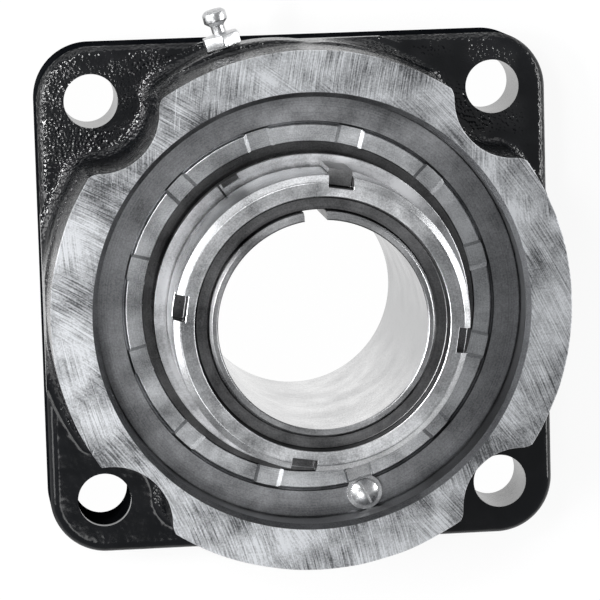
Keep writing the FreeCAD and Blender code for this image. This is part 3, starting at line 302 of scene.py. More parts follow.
def casting_rings(angle):
    """Rings of points round the casting, from the mouth over face and flange to the back and up the bore."""
    square, boss = square_reach(angle), boss_reach(angle)
    upper, low = np.minimum(boss, BOSS_TOP_R), np.minimum(boss, square)
    ragged = np.array([RIM_RAGGED * noise.noise((math.cos(a) * RIM_WAVES, math.sin(a) * RIM_WAVES, RIM_SEED))
                       for a in angle])
    top = upper + ragged - RIM_INSET
    rings = [(np.full(angle.shape, MOUTH_R + MOUTH_BEVEL), FACE)]
    rings += [(MOUTH_R + MOUTH_BEVEL + (top - RIM_BAND - MOUTH_R - MOUTH_BEVEL) * share, FACE)
              for share in (0.35, 0.7, 1.0)]
    rings += [(top - RIM_BEVEL_WIDE, FACE), (top, FACE - RIM_BEVEL_DEEP)]
    rings += [(top + (upper - top) * share, FACE - RIM_BEVEL_DEEP - RIM_FADE * share)
              for share in (0.25, 0.6, 1.0)]
    rings += [(upper, STEP_HIGH), (low, STEP_LOW), (low, FLANGE_TOP + ROOT_R + SIDE_CLEAR)]
    for step in range(ROOT_STEPS + 1):
        lean = step / ROOT_STEPS * math.pi / 2
        out, up = ROOT_R * (1 - math.cos(lean)), ROOT_R * (1 - math.sin(lean))
        rings.append((np.minimum(boss_reach(angle, out), square), FLANGE_TOP + up))
    root = rings[-1][0]
    brim = np.maximum(square_reach(angle, FLANGE_ROUND), root)
    rings += [(root + (brim - root) * share, FLANGE_TOP) for share in (0.2, 0.4, 0.6, 0.8)]
    for step in range(ROUND_STEPS + 1):
        lean = step / ROUND_STEPS * math.pi / 2
        edge = square_reach(angle, FLANGE_ROUND * (1 - math.sin(lean)))
        rings.append((np.maximum(edge, root), FLANGE_TOP - FLANGE_ROUND * (1 - math.cos(lean))))
    rings += [(square, height) for height in (18, 12, 6, FLANGE_FOOT)]
    rings += [(square - FLANGE_FOOT / 3, FLANGE_FOOT / 4), (square - FLANGE_FOOT, 0.0)]
    rings += [(REAR_R + (square - FLANGE_FOOT - REAR_R) * share, 0.0) for share in (0.66, 0.33)]
    return rings + [(np.full(angle.shape, reach), height) for reach, height in casting_bore()]


def fitting_pad():
    """The low pad, drawn as a slice of a smaller cylinder with rounded top and bottom edges."""
    lean_far = math.asin(PAD_HALF / PAD_R)
    near = PAD_SOFT * 0.3
    levels = [(-PAD_SOFT, PAD_LOW), (-near, PAD_LOW + near), (0, PAD_LOW + PAD_SOFT),
              (0, PAD_TOP - PAD_SOFT), (-near, PAD_TOP - near), (-PAD_SOFT, PAD_TOP)]
    points, faces, row = [], [], PAD_STEPS + 1
    for grown, height in levels:
        for step in range(row):
            lean, reach = -lean_far + 2 * lean_far * step / PAD_STEPS, PAD_R + grown
            points.append((PAD_AT + reach * math.cos(lean), reach * math.sin(lean), height))
    inner, buried = len(points), BOSS_TOP_R - PAD_BURIED
    for height in (PAD_LOW, PAD_TOP):
        points += [(buried, -PAD_HALF + PAD_SOFT, height), (buried, PAD_HALF - PAD_SOFT, height)]
    starts = [level * row for level in range(len(levels))]
    for start in starts[:-1]:
        faces += [(a, a + 1, a + 1 + row, a + row) for a in range(start, start + PAD_STEPS)]
    faces.append(tuple(reversed(range(row))) + (inner, inner + 1))
    faces.append(tuple(range(starts[-1], starts[-1] + row)) + (inner + 3, inner + 2))
    faces.append(tuple(starts) + (inner + 2, inner))
    faces.append(tuple(start + PAD_STEPS for start in reversed(starts)) + (inner + 1, inner + 3))
    faces.append((inner, inner + 2, inner + 3, inner + 1))
    mesh = in_millimetres("fitting_pad", points, faces)
    mesh.transform(Matrix.Rotation(FITTING_ANGLE, 4, "Z"))
    return placed("fitting_pad", facing_out(mesh))


def fine_bump(tree, height, depth_mm, normal=None):
    inputs = {"Height": height, "Distance": depth_mm * MM, "Strength": 1.0}
    if normal:
        inputs["Normal"] = normal
    return node(tree, "ShaderNodeBump", inputs).outputs[0]


def grain(tree, place, size_mm, detail=2.0, roughness=0.5):
    """Smooth noise with features about size_mm across, from 0 to 1."""
    return node(tree, "ShaderNodeTexNoise", {"Vector": place, "Scale": 1 / (size_mm * MM), "Detail": detail,
                                             "Roughness": roughness}).outputs[0]


def between(tree, value, low, high, low_out=0.0, high_out=1.0):
    """Turns the range from low to high into the range from low_out to high_out."""
    return node(tree, "ShaderNodeMapRange", {0: value, 1: low, 2: high, 3: low_out, 4: high_out}).outputs[0]


def weighed(tree, *parts):
    """The sum of patterns, each times its weight."""
    first, *rest = [sums(tree, "MULTIPLY", pattern, weight) for pattern, weight in parts]
    for part in rest:
        first = sums(tree, "ADD", first, part)
    return first


def two_tones(tree, share, first, second):
    """The first colour where share is 0, and the second where it is 1."""
    inputs = {0: share, 6: (*first, 1), 7: (*second, 1)}
    return node(tree, "ShaderNodeMix", inputs, data_type="RGBA").outputs[2]


def black_paint():
    """Thick gloss paint: pimpled where it covers the boss's side, its root and the flange's two upper
    corners, smooth on the rest of the flange's front, and dull down the flange's side."""
    black, dusty = (0.0035, 0.004, 0.005), (0.009, 0.0095, 0.011)
    pimple_mm, pimple_high, wave_mm, wave_high = 1.2, 0.75, 6.0, 0.3
    patch_mm, dust_mm, gloss_mm = 16, 22, 9
    corner_from, corner_full, share_on_flat = 0.07, 0.13, 0.55
    material, tree = empty_material("black_paint")
    place = node(tree, "ShaderNodeTexCoord").outputs["Object"]
    x, y, height = node(tree, "ShaderNodeSeparateXYZ", {0: place}).outputs
    left_corner = between(tree, sums(tree, "SUBTRACT", y, x), corner_from, corner_full)
    right_corner = between(tree, sums(tree, "ADD", y, x), corner_from, corner_full)
    on_flat = sums(tree, "MULTIPLY", sums(tree, "MAXIMUM", left_corner, right_corner), share_on_flat)
    on_root = between(tree, height, (FLANGE_TOP + 0.1) * MM, (FLANGE_TOP + 1.0) * MM)
    patch = between(tree, grain(tree, place, patch_mm, detail=1.0), 0.4, 0.58, low_out=0.3)
    coarse = sums(tree, "MULTIPLY", sums(tree, "MAXIMUM", on_root, on_flat), patch)
    cells = {"Vector": place, "Scale": 1 / (pimple_mm * MM), "Smoothness": 0.7}
    pimple = node(tree, "ShaderNodeTexVoronoi", cells, feature="SMOOTH_F1").outputs["Distance"]
    normal = fine_bump(tree, grain(tree, place, wave_mm), wave_high)
    normal = fine_bump(tree, sums(tree, "MULTIPLY", pimple, coarse), pimple_high, normal)
    dust = between(tree, grain(tree, place, dust_mm, detail=4.0, roughness=0.6), 0.5, 0.75)
    rough = between(tree, grain(tree, place, gloss_mm), 0.3, 0.7, low_out=0.09, high_out=0.18)
    on_front = between(tree, height, (FLANGE_TOP - 3) * MM, (FLANGE_TOP - 0.8) * MM)
    shine = between(tree, coarse, 0.05, 0.5, low_out=0.26, high_out=0.5)
    shine = sums(tree, "MULTIPLY", shine, on_front)
    paint = node(tree, "ShaderNodeBsdfPrincipled", {
        "Base Color": two_tones(tree, dust, black, dusty), "Roughness": rough, "Normal": normal,
        "Specular IOR Level": shine})
    node(tree, "ShaderNodeOutputMaterial", {0: paint.outputs[0]})
    return material


def arc_lines(tree, place, centre, pitch_mm):
    """Uneven fine lines that run in wide arcs about a far centre, as a fly cutter leaves them."""
    along = 0.006
    offset = node(tree, "ShaderNodeVectorMath", {0: place, 1: centre}, operation="SUBTRACT").outputs[0]
    parts = node(tree, "ShaderNodeSeparateXYZ", {0: offset})
    reach = node(tree, "ShaderNodeVectorMath", {0: offset}, operation="LENGTH").outputs["Value"]
    turn = sums(tree, "ARCTAN2", parts.outputs[1], parts.outputs[0])
    seat = node(tree, "ShaderNodeCombineXYZ", {0: reach, 1: sums(tree, "MULTIPLY", turn, along)}).outputs[0]
    return grain(tree, seat, pitch_mm, detail=1.0)


def milled_face():
    """Grey iron with the cutter's crossed arcs, long bright scratches and small dark pores."""
    dark, light = (0.1, 0.103, 0.108), (0.74, 0.755, 0.78)
    line_weight, pore_weight, cloud_weight, line_deep, pore_deep = 0.55, 0.35, 0.8, 0.035, 0.04
    patch_mm, scratched_mm, pore_mm, cloud_mm = 24, 11, 0.7, 20
    material, tree = empty_material("milled_iron")
    place = node(tree, "ShaderNodeTexCoord").outputs["Object"]
    first = arc_lines(tree, place, centre=(0.19, 0.05, 0), pitch_mm=0.42)
    second = arc_lines(tree, place, centre=(-0.17, -0.13, 0), pitch_mm=0.5)
    which = between(tree, grain(tree, place, patch_mm), 0.4, 0.6)
    lines = node(tree, "ShaderNodeMix", {0: which, 2: first, 3: second}).outputs[0]
    scratch = between(tree, arc_lines(tree, place, centre=(-0.6, 0.12, 0), pitch_mm=1.1), 0.73, 0.77)
    scratched = between(tree, grain(tree, place, scratched_mm, detail=1.0), 0.5, 0.56)
    scratch = sums(tree, "MULTIPLY", scratch, scratched)
    pores = grain(tree, place, pore_mm, roughness=0.7)
    cloud = grain(tree, place, cloud_mm, detail=4.0, roughness=0.6)
    tone = weighed(tree, (lines, line_weight), (pores, pore_weight), (cloud, cloud_weight))
    share = sums(tree, "ADD", between(tree, tone, 0.68, 1.0), scratch, clamp=True)
    normal = fine_bump(tree, pores, pore_deep, fine_bump(tree, lines, line_deep))
    metal = node(tree, "ShaderNodeBsdfPrincipled", {
        "Base Color": two_tones(tree, share, dark, light), "Metallic": 1.0, "Roughness": 0.4,
        "Normal": normal})
    node(tree, "ShaderNodeOutputMaterial", {0: metal.outputs[0]})
    return material


def turned_metal(name, dark, light, roughness, pitch_mm, groove_mm, stain=0.5, anisotropic=0.6,
                 painted_shade_way=None):
    """Metal from the lathe: fine rings run round the bore on faces and cylinders alike, under oily patches.
    Where a shade direction is given, the side of the bore that it points to is painted dark, as painted
    shade."""
    ring_weight, speck_weight, nick_weight, painted_shade_reach = 0.3, 0.4, 0.12, 0.036
    cloud_mm, nick_mm, speck_mm = 16, 1.4, 0.55
    material, tree = empty_material(name)
    place = node(tree, "ShaderNodeTexCoord").outputs["Object"]
    flat = node(tree, "ShaderNodeVectorMath", {0: place, 1: (1, 1, 0)}, operation="MULTIPLY").outputs[0]
    reach = node(tree, "ShaderNodeVectorMath", {0: flat}, operation="LENGTH").outputs["Value"]
    height = node(tree, "ShaderNodeSeparateXYZ", {0: place}).outputs[2]
    seat = node(tree, "ShaderNodeCombineXYZ", {0: sums(tree, "ADD", reach, height)}).outputs[0]
    rings = grain(tree, seat, pitch_mm, detail=3.0, roughness=0.65)
    cloud = grain(tree, place, cloud_mm, detail=3.0, roughness=0.6)
    nick = between(tree, grain(tree, place, nick_mm, roughness=0.6), 0.62, 0.7)
    speck = grain(tree, place, speck_mm, roughness=0.6)
    tone = weighed(tree, (rings, ring_weight), (cloud, stain), (speck, speck_weight))
    share = between(tree, tone, 0.4, 0.8)
    share = sums(tree, "ADD", share, sums(tree, "MULTIPLY", nick, nick_weight), clamp=True)
    # Painted shade: the side of the bore that the shade direction points to is darkened in the base colour.
    if painted_shade_way:
        side = node(tree, "ShaderNodeVectorMath", {0: place, 1: painted_shade_way}, operation="DOT_PRODUCT")
        lit = between(tree, side.outputs["Value"], 0.0, painted_shade_reach, low_out=1.0, high_out=0.0)
        share = sums(tree, "MULTIPLY", share, lit)
    rough = between(tree, cloud, 0.3, 0.7, low_out=roughness * 0.8, high_out=roughness * 1.25)
    round_way = node(tree, "ShaderNodeTangent", direction_type="RADIAL", axis="Z").outputs[0]
    metal = node(tree, "ShaderNodeBsdfPrincipled", {
        "Base Color": two_tones(tree, share, dark, light), "Metallic": 1.0, "Roughness": rough,
        "Normal": fine_bump(tree, rings, groove_mm), "Anisotropic": anisotropic, "Tangent": round_way})
    node(tree, "ShaderNodeOutputMaterial", {0: metal.outputs[0]})
    return material


paint, milled = black_paint(), milled_face()
bored = turned_metal("bored_iron", dark=(0.08, 0.081, 0.085), light=(0.3, 0.305, 0.315), roughness=0.38,
                     pitch_mm=0.5, groove_mm=0.008)
drilled = turned_metal("drilled_iron", dark=(0.02, 0.02, 0.021), light=(0.3, 0.3, 0.3), roughness=0.3,
                       pitch_mm=0.8, groove_mm=0.03)

rays = np.arange(CASTING_RAYS) * 2 * math.pi / CASTING_RAYS
rings = casting_rings(rays)
points = []
for reach, height in rings:
    points += list(zip(reach * np.cos(rays), reach * np.sin(rays), np.full(rays.shape, float(height))))
casting = riding("casting", in_millimetres("casting", points, joined_loops(len(rings), CASTING_RAYS)),
                 "housing_group", paint, milled, bored, drilled)
boolean(casting, fitting_pad(), "UNION")
for side_x, side_y in ((1, 1), (1, -1), (-1, 1), (-1, -1)):
    drill_at = moved(side_x * BOLT_AT, side_y * BOLT_AT)
    boolean(casting, post("bolt_drill", BOLT_HOLE_R, DRILL_LOW, DRILL_HIGH, drill_at), "DIFFERENCE")
screw_at = (LOCK_SCREW_AT * math.cos(LOCK_ANGLE), LOCK_SCREW_AT * math.sin(LOCK_ANGLE))
screw_drill = post("screw_drill", SCREW_HOLE_R, SCREW_HOLE_LOW, PUNCH_HIGH, moved(*screw_at), 32)
boolean(casting, screw_drill, "DIFFERENCE")
outward = Matrix.Rotation(FITTING_ANGLE, 4, "Z") @ Matrix.Rotation(math.pi / 2, 4, "Y")
along_pad = Matrix.Translation((0, 0, BEARING_Z * MM)) @ outward
pad_face = PAD_AT + PAD_R
tap_end = pad_face - TAP_DEEP
grease_tap = post("grease_tap", TAP_R, tap_end, pad_face + TAP_OVER, along_pad, 48)
boolean(casting, grease_tap, "DIFFERENCE")
grease_drill = post("grease_drill", GREASE_R, SEAT_R - 2 * GREASE_OVER, tap_end + GREASE_OVER, along_pad, 32)
boolean(casting, grease_drill, "DIFFERENCE")

# Machining bares the iron after the paint.
for face in casting.data.polygons:
    x, y, z = (v / MM for v in face.center)
    to_bolt = math.hypot(abs(x) - BOLT_AT, abs(y) - BOLT_AT)
    if to_bolt < BOLT_HOLE_R + HOLE_WALL_NEAR and abs(face.normal.z) < 0.5:
        face.material_index = PAINTED if x < 0 and y < 0 else DRILLED
    elif math.hypot(x, y) < MOUTH_R + MOUTH_BEVEL + BACK_NEAR and z > BACK_NEAR:
        face.material_index = BORED
    elif z > FACE - FACE_NEAR or z < BACK_NEAR:
        face.material_index = MILLED
smooth_but_edges(casting)
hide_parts("housing")

# The slotted ring: turned steel, screwed into the housing's mouth, with its bore turned to the sphere that
# the front seal floats in. Twelve shallow slots with leaning flanks are milled across its face, for the
# spanner and for the lock plate's tab.
RING_NUT_R, RING_NUT_IN, RING_NUT_LOW, RING_NUT_TOP, RING_NUT_FOOT = 67.45, 60.5, 55.03, 62.8, 63.0
RING_EDGE_DEEP, RING_EDGE_WIDE, RING_LIP, RING_EASE = 0.8, 0.6, 0.35, 0.15
RING_BORE_LEVELS = (62.3, 61.0, 59.6, 58.2, 56.8, 55.48)
NOTCHES, NOTCH_FLOOR_HALF, NOTCH_TOP_HALF, NOTCH_DEEP, NOTCH_ANGLE = 12, 3.7, 5.1, 1.15, math.radians(15)
NOTCH_STRETCH, NOTCH_OVER, TURNED_STEPS, SAME_POINT = 3.0, 0.00002, 240, 1e-7


def eased(corners, ease, keep=()):
    """Cuts each corner of a closed profile with three points of a small arc; the corners in keep stay."""
    out, count = [], len(corners)
    for index, corner in enumerate(corners):
        here = Vector(corner)
        before, after = Vector(corners[index - 1]) - here, Vector(corners[(index + 1) % count]) - here
        if index in keep:
            out.append(tuple(here))
            continue
        cut = min(ease, before.length * 0.45, after.length * 0.45)
        first, last = here + before.normalized() * cut, here + after.normalized() * cut
        out += [tuple(first), tuple((first + last) * 0.35 + here * 0.3), tuple(last)]
    return out


def turned_piece(name, corners, material, body, centre=(0, 0), steps=TURNED_STEPS):
    """Turns a closed profile of (radius, height) corners in millimetres about an upright axis."""
    points = []
    for step in range(steps):
        turn = 2 * math.pi * step / steps
        points += [(centre[0] + r * math.cos(turn), centre[1] + r * math.sin(turn), z) for r, z in corners]
    mesh = in_millimetres(name, points, joined_loops(steps, len(corners)))
    return riding(name, facing_out(mesh, SAME_POINT), body, material)


def slot_cutter_tree():
    """Cuts equal slots round a piece; the cutter is a four-sided block with leaning flanks."""
    tree = bpy.data.node_groups.new("cut_slots", "GeometryNodeTree")
    for name, kind in (("Geometry", "Geometry"), ("Slots", "Int"), ("Circle Radius", "Float"),
                       ("Floor Height", "Float"), ("First Angle", "Float"), ("Floor Half Width", "Float"),
                       ("Top Half Width", "Float"), ("Top Height", "Float"), ("Stretch", "Float"),
                       ("Material", "Material")):
        tree.interface.new_socket(name, in_out="INPUT", socket_type="NodeSocket" + kind)
    tree.interface.new_socket("Geometry", in_out="OUTPUT", socket_type="NodeSocketGeometry")
    given = node(tree, "NodeGroupInput").outputs
    floor_r = sums(tree, "MULTIPLY", given["Floor Half Width"], math.sqrt(2))
    top_r = sums(tree, "MULTIPLY", given["Top Half Width"], math.sqrt(2))
    high = sums(tree, "SUBTRACT", given["Top Height"], given["Floor Height"])
    block = node(tree, "GeometryNodeMeshCone", {"Vertices": 4, "Radius Top": top_r, "Radius Bottom": floor_r,
                                                "Depth": high}).outputs["Mesh"]
    eighth = (0, 0, math.pi / 4)
    squared = node(tree, "GeometryNodeTransform", {"Geometry": block, "Rotation": eighth}).outputs[0]
    lengthened = node(tree, "ShaderNodeCombineXYZ", {0: given["Stretch"], 1: 1.0, 2: 1.0}).outputs[0]
    block = node(tree, "GeometryNodeTransform", {"Geometry": squared, "Scale": lengthened}).outputs[0]
    number = node(tree, "GeometryNodeInputIndex").outputs[0]
    pitch = sums(tree, "DIVIDE", 2 * math.pi, given["Slots"])
    turn = sums(tree, "MULTIPLY_ADD", number, pitch, given["First Angle"])
    spot = node(tree, "ShaderNodeCombineXYZ", {
        0: sums(tree, "MULTIPLY", sums(tree, "COSINE", turn), given["Circle Radius"]),
        1: sums(tree, "MULTIPLY", sums(tree, "SINE", turn), given["Circle Radius"]),
        2: given["Floor Height"]}).outputs[0]
    seats = node(tree, "GeometryNodePoints", {"Count": given["Slots"], "Position": spot}).outputs[0]
    facing = node(tree, "ShaderNodeCombineXYZ", {2: turn}).outputs[0]
    cutters = node(tree, "GeometryNodeInstanceOnPoints",
                   {"Points": seats, "Instance": block, "Rotation": facing}).outputs[0]
    cutters = node(tree, "GeometryNodeRealizeInstances", {0: cutters}).outputs[0]
    cut = node(tree, "GeometryNodeMeshBoolean", {"Mesh 1": given["Geometry"], "Mesh 2": cutters},
               operation="DIFFERENCE").outputs[0]
    cut = node(tree, "GeometryNodeSetMaterial", {"Geometry": cut, "Material": given["Material"]}).outputs[0]
    node(tree, "NodeGroupOutput", {"Geometry": cut})
    return tree


cut_slots = slot_cutter_tree()


def with_slots(piece, material, **sizes):
    """Runs the slot cutter on a piece with the named sizes and bakes the result."""
    modifier = piece.modifiers.new("cut_slots", "NODES")
    modifier.node_group = cut_slots
    values = {name.replace("_", " ").title(): value for name, value in sizes.items()}
    values["Material"] = material
    for item in cut_slots.interface.items_tree:
        if item.in_out == "INPUT" and item.name in values:
            modifier[item.identifier] = values[item.name]
    return baked(piece)


ring_steel = turned_metal("ring_steel", dark=(0.11, 0.112, 0.116), light=(0.55, 0.56, 0.575), roughness=0.34,
                          pitch_mm=0.45, groove_mm=0.008, stain=0.6, anisotropic=0.75)
sphere = math.hypot(RING_NUT_IN, RING_NUT_TOP - BEARING_Z)
bore = [(math.sqrt(sphere ** 2 - (z - BEARING_Z) ** 2), z) for z in RING_BORE_LEVELS]
profile = [(RING_NUT_FOOT, RING_NUT_LOW), (RING_NUT_R, RING_NUT_LOW)]
profile += eased([(RING_NUT_R, RING_NUT_TOP - RING_EDGE_DEEP), (RING_NUT_R - RING_EDGE_WIDE, RING_NUT_TOP),
                  (RING_NUT_IN + RING_LIP, RING_NUT_TOP), bore[0]], RING_EASE, keep=(0, 3)) + bore[1:]
slotted_ring = turned_piece("slotted_ring", profile, ring_steel, "housing_group")
with_slots(slotted_ring, ring_steel, slots=NOTCHES, circle_radius=(RING_NUT_IN + RING_NUT_R) / 2 * MM,
           floor_height=(RING_NUT_TOP - NOTCH_DEEP) * MM, first_angle=NOTCH_ANGLE,
           floor_half_width=NOTCH_FLOOR_HALF * MM, top_half_width=NOTCH_TOP_HALF * MM,
           top_height=RING_NUT_TOP * MM + NOTCH_OVER, stretch=NOTCH_STRETCH)
smooth_but_edges(slotted_ring)
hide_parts("adjusting_ring")

# The lock plate: a keyhole-shaped pressing of bright plated steel. Its tab is set down into one slot of the
# ring and keeps the ring from turning.
PLATE_THICK, PLATE_END_R, PLATE_HOLE_R, PLATE_ROUND, PLATE_STEPS = 1.6, 6.5, 2.55, 0.22, 40
TAB_HALF, TAB_DROP, TAB_TIP, NECK_OUT, NECK_LAP = 4.25, 1.5, 61.9, 67.1, 0.6


def slab(name, outline, low, high, material, body):
    """A flat piece of even thickness from an outline in millimetres."""
    shape = bmesh.new()
    bottom = shape.faces.new([shape.verts.new((x * MM, y * MM, low * MM)) for x, y in outline])
    pushed = bmesh.ops.extrude_face_region(shape, geom=[bottom])
    top = [item for item in pushed["geom"] if isinstance(item, bmesh.types.BMVert)]
    bmesh.ops.translate(shape, verts=top, vec=(0, 0, (high - low) * MM))
    mesh = bpy.data.meshes.new(name)
    shape.to_mesh(mesh)
    shape.free()
    return riding(name, facing_out(mesh), body, material)


def rounded(piece, width, segments=3, degrees=30):
    """Rounds the edges that turn by more than so many degrees."""
    modifier = piece.modifiers.new("rounded", "BEVEL")
    modifier.width, modifier.segments, modifier.limit_method = width * MM, segments, "ANGLE"
    modifier.angle_limit = math.radians(degrees)
    return baked(piece)


plate_steel = turned_metal("plate_steel", dark=(0.32, 0.323, 0.33), light=(0.8, 0.805, 0.815),
                           roughness=0.24, pitch_mm=2.0, groove_mm=0.004, stain=0.6, anisotropic=0.0)
join = math.asin(TAB_HALF / PLATE_END_R)
arc = [math.pi - join - (2 * math.pi - 2 * join) * step / PLATE_STEPS for step in range(PLATE_STEPS + 1)]
outline = [(NECK_OUT - NECK_LAP, TAB_HALF)]
outline += [(LOCK_SCREW_AT + PLATE_END_R * math.cos(a), PLATE_END_R * math.sin(a)) for a in arc]
outline += [(NECK_OUT - NECK_LAP, -TAB_HALF)]
lock_plate = slab("keyhole_plate", outline, LAND, LAND + PLATE_THICK, plate_steel, "housing_group")
outline = [(TAB_TIP, -TAB_HALF), (NECK_OUT, -TAB_HALF), (NECK_OUT, TAB_HALF), (TAB_TIP, TAB_HALF)]
tab = slab("plate_tab", outline, LAND - TAB_DROP, LAND - TAB_DROP + PLATE_THICK, plate_steel, "housing_group")
boolean(lock_plate, tab, "UNION")
punch = post("plate_punch", PLATE_HOLE_R, PUNCH_LOW, PUNCH_HIGH, moved(LOCK_SCREW_AT, 0), 48)
boolean(lock_plate, punch, "DIFFERENCE")
rounded(lock_plate, PLATE_ROUND)
lock_plate.data.transform(Matrix.Rotation(LOCK_ANGLE, 4, "Z"))
smooth_but_edges(lock_plate)
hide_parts("lock_plate")

# The lock screw: plated steel with a domed head and one driver slot. It is screwed into the land and holds
# the plate down.
SCREW_R, SCREW_LOW, SCREW_POINT, HEAD_R, HEAD_HIGH, BRIM_HIGH = 2.4, 55.6, 0.4, 5.0, 2.4, 1.0
BRIM_FOOT, BRIM_EASE, DOME_SHARE, DOME_STEPS, SCREW_ROUND = 0.15, 0.2, 0.97, 8, 0.1
DRIVER_HALF, DRIVER_DEEP, DRIVER_ANGLE = 0.5, 1.2, math.radians(120)
dome = HEAD_HIGH - BRIM_HIGH
dome_r = (HEAD_R ** 2 + dome ** 2) / (2 * dome)
brim = LAND + PLATE_THICK
profile = [(0, SCREW_LOW), (SCREW_R - SCREW_POINT, SCREW_LOW), (SCREW_R, SCREW_LOW + SCREW_POINT),
           (SCREW_R, brim), (HEAD_R - BRIM_FOOT, brim), (HEAD_R, brim + BRIM_FOOT),
           (HEAD_R, brim + BRIM_HIGH - BRIM_EASE)]
for step in range(DOME_STEPS + 1):
    reach = HEAD_R * DOME_SHARE * (1 - step / DOME_STEPS)
    profile.append((reach, brim + HEAD_HIGH - dome_r + math.sqrt(dome_r ** 2 - reach ** 2)))
lock_screw = turned_piece("domed_screw", profile, plate_steel, "housing_group", centre=screw_at, steps=64)
head_top = Matrix.Translation((screw_at[0] * MM, screw_at[1] * MM, (brim + HEAD_HIGH) * MM))
slot_size = Matrix.Diagonal((HEAD_R * 3 * MM, DRIVER_HALF * 2 * MM, DRIVER_DEEP * 2 * MM, 1))
driver = bpy.data.meshes.new("driver")
shape = bmesh.new()
bmesh.ops.create_cube(shape, size=1, matrix=head_top @ Matrix.Rotation(DRIVER_ANGLE, 4, "Z") @ slot_size)
shape.to_mesh(driver)
shape.free()
boolean(lock_screw, placed("driver", driver), "DIFFERENCE")
rounded(lock_screw, SCREW_ROUND, segments=2, degrees=35)
smooth_but_edges(lock_screw)
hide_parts("lock_screw")

# The bearing's inner parts: ground rings and rollers, two pressed cages, the guide ring, the locknut's washer
# and the fitting's spring and ball. Nearly all of them are hidden, and they keep their plain shapes.
ground = turned_metal("ground_steel", dark=(0.28, 0.28, 0.285), light=(0.56, 0.56, 0.57), roughness=0.22,
                      pitch_mm=0.4, groove_mm=0.004)
pressed = turned_metal("pressed_steel", dark=(0.1, 0.1, 0.102), light=(0.3, 0.3, 0.302), roughness=0.4,
                       pitch_mm=2.5, groove_mm=0.004, stain=0.6, anisotropic=0.0)
for name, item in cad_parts.items():
    is_pressed = name.startswith("cage") or name in ("guide_ring", "fitting_spring", "lock_washer")
    for slot in item.material_slots:
        slot.material = pressed if is_pressed else ground

# The flinger, the seals and the retaining ring: a turned cup on the inner ring's front collar throws dirt
# off the seal, and a flat split ring in the collar's groove holds the cup. Cup and seals are dark: painted
# shade.
SNAP_LOW, SNAP_TOP, SNAP_IN, SNAP_OUT = 71.7, 73.4, 47.4, 57.4
SPLIT_ANGLE, SPLIT_HALF, SNAP_NOTCH_ANGLE = math.radians(125), 0.4, math.radians(120.4)
SPLIT_STRETCH, SNAP_NOTCH_HALF, SNAP_NOTCH_FLOOR, SNAP_EASE, SNAP_OVER = 20.0, 3.4, 55.3, 0.25, 1
# Painted shade: the cup's dark colour stands in for the shade of the gap it sits in.
flinger_shade_steel = turned_metal("flinger_shade_steel", dark=(0.035, 0.035, 0.036), light=(0.14, 0.14, 0.142),
                             roughness=0.3, pitch_mm=0.6, groove_mm=0.01)
for name in ("flinger", "front_seal", "rear_seal"):
    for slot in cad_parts[name].material_slots:
        slot.material = flinger_shade_steel

snap_steel = turned_metal("snap_steel", dark=(0.1, 0.1, 0.104), light=(0.62, 0.625, 0.64), roughness=0.34,
                          pitch_mm=1.2, groove_mm=0.01, stain=0.8, anisotropic=0.75)
profile = eased([(SNAP_IN, SNAP_LOW), (SNAP_OUT, SNAP_LOW), (SNAP_OUT, SNAP_TOP), (SNAP_IN, SNAP_TOP)],
                SNAP_EASE)
retaining_ring = turned_piece("split_ring", profile, snap_steel, "shaft_group")
for radius, angle, half, stretch in (
        ((SNAP_IN + SNAP_OUT) / 2, SPLIT_ANGLE, SPLIT_HALF, SPLIT_STRETCH),
        (SNAP_NOTCH_FLOOR + SNAP_NOTCH_HALF, SNAP_NOTCH_ANGLE, SNAP_NOTCH_HALF, 1.0)):
    with_slots(retaining_ring, snap_steel, slots=1, circle_radius=radius * MM,
               floor_height=(SNAP_LOW - SNAP_OVER) * MM, first_angle=angle, floor_half_width=half * MM,
               top_half_width=half * MM, top_height=(SNAP_TOP + SNAP_OVER) * MM, stretch=stretch)
smooth_but_edges(retaining_ring)
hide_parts("retaining_ring")

# The adapter sleeve: a thin tapered steel sleeve, split along one side, that the locknut draws into the
# inner ring so that it grips the shaft. Its bore and end are bright from grinding, and its front carries the
# thread for the locknut.
SLEEVE_LOW, SLEEVE_TOP, BORE_R, SLEEVE_EASE, SLEEVE_BEVEL = 2.0, 108.0, 37.305, 1.0, 0.2
TAPER_TOP, TAPER_SMALL_R, TAPER_BIG_R, THREAD_PEAK_R = 60.0, 40.59, 43.0067, 40.5
THREAD_PITCH, THREAD_DEEP, THREAD_FROM, LEVELS_A_TURN = 2.0, 0.75, 75.0, 6
FLANK_STEEP, CREST_WIDE, BORE_EDGE, BORE_FLARE, END_DROP = 1.3, 0.15, 0.5, (0.55, 0.35), 0.1
SLIT_ANGLE, SLIT_HALF, SLIT_AT = math.radians(92.5), 4.0, 3
SLIT_STRETCH, SLIT_LOW, SLIT_TOP = 1.6, -3, 113


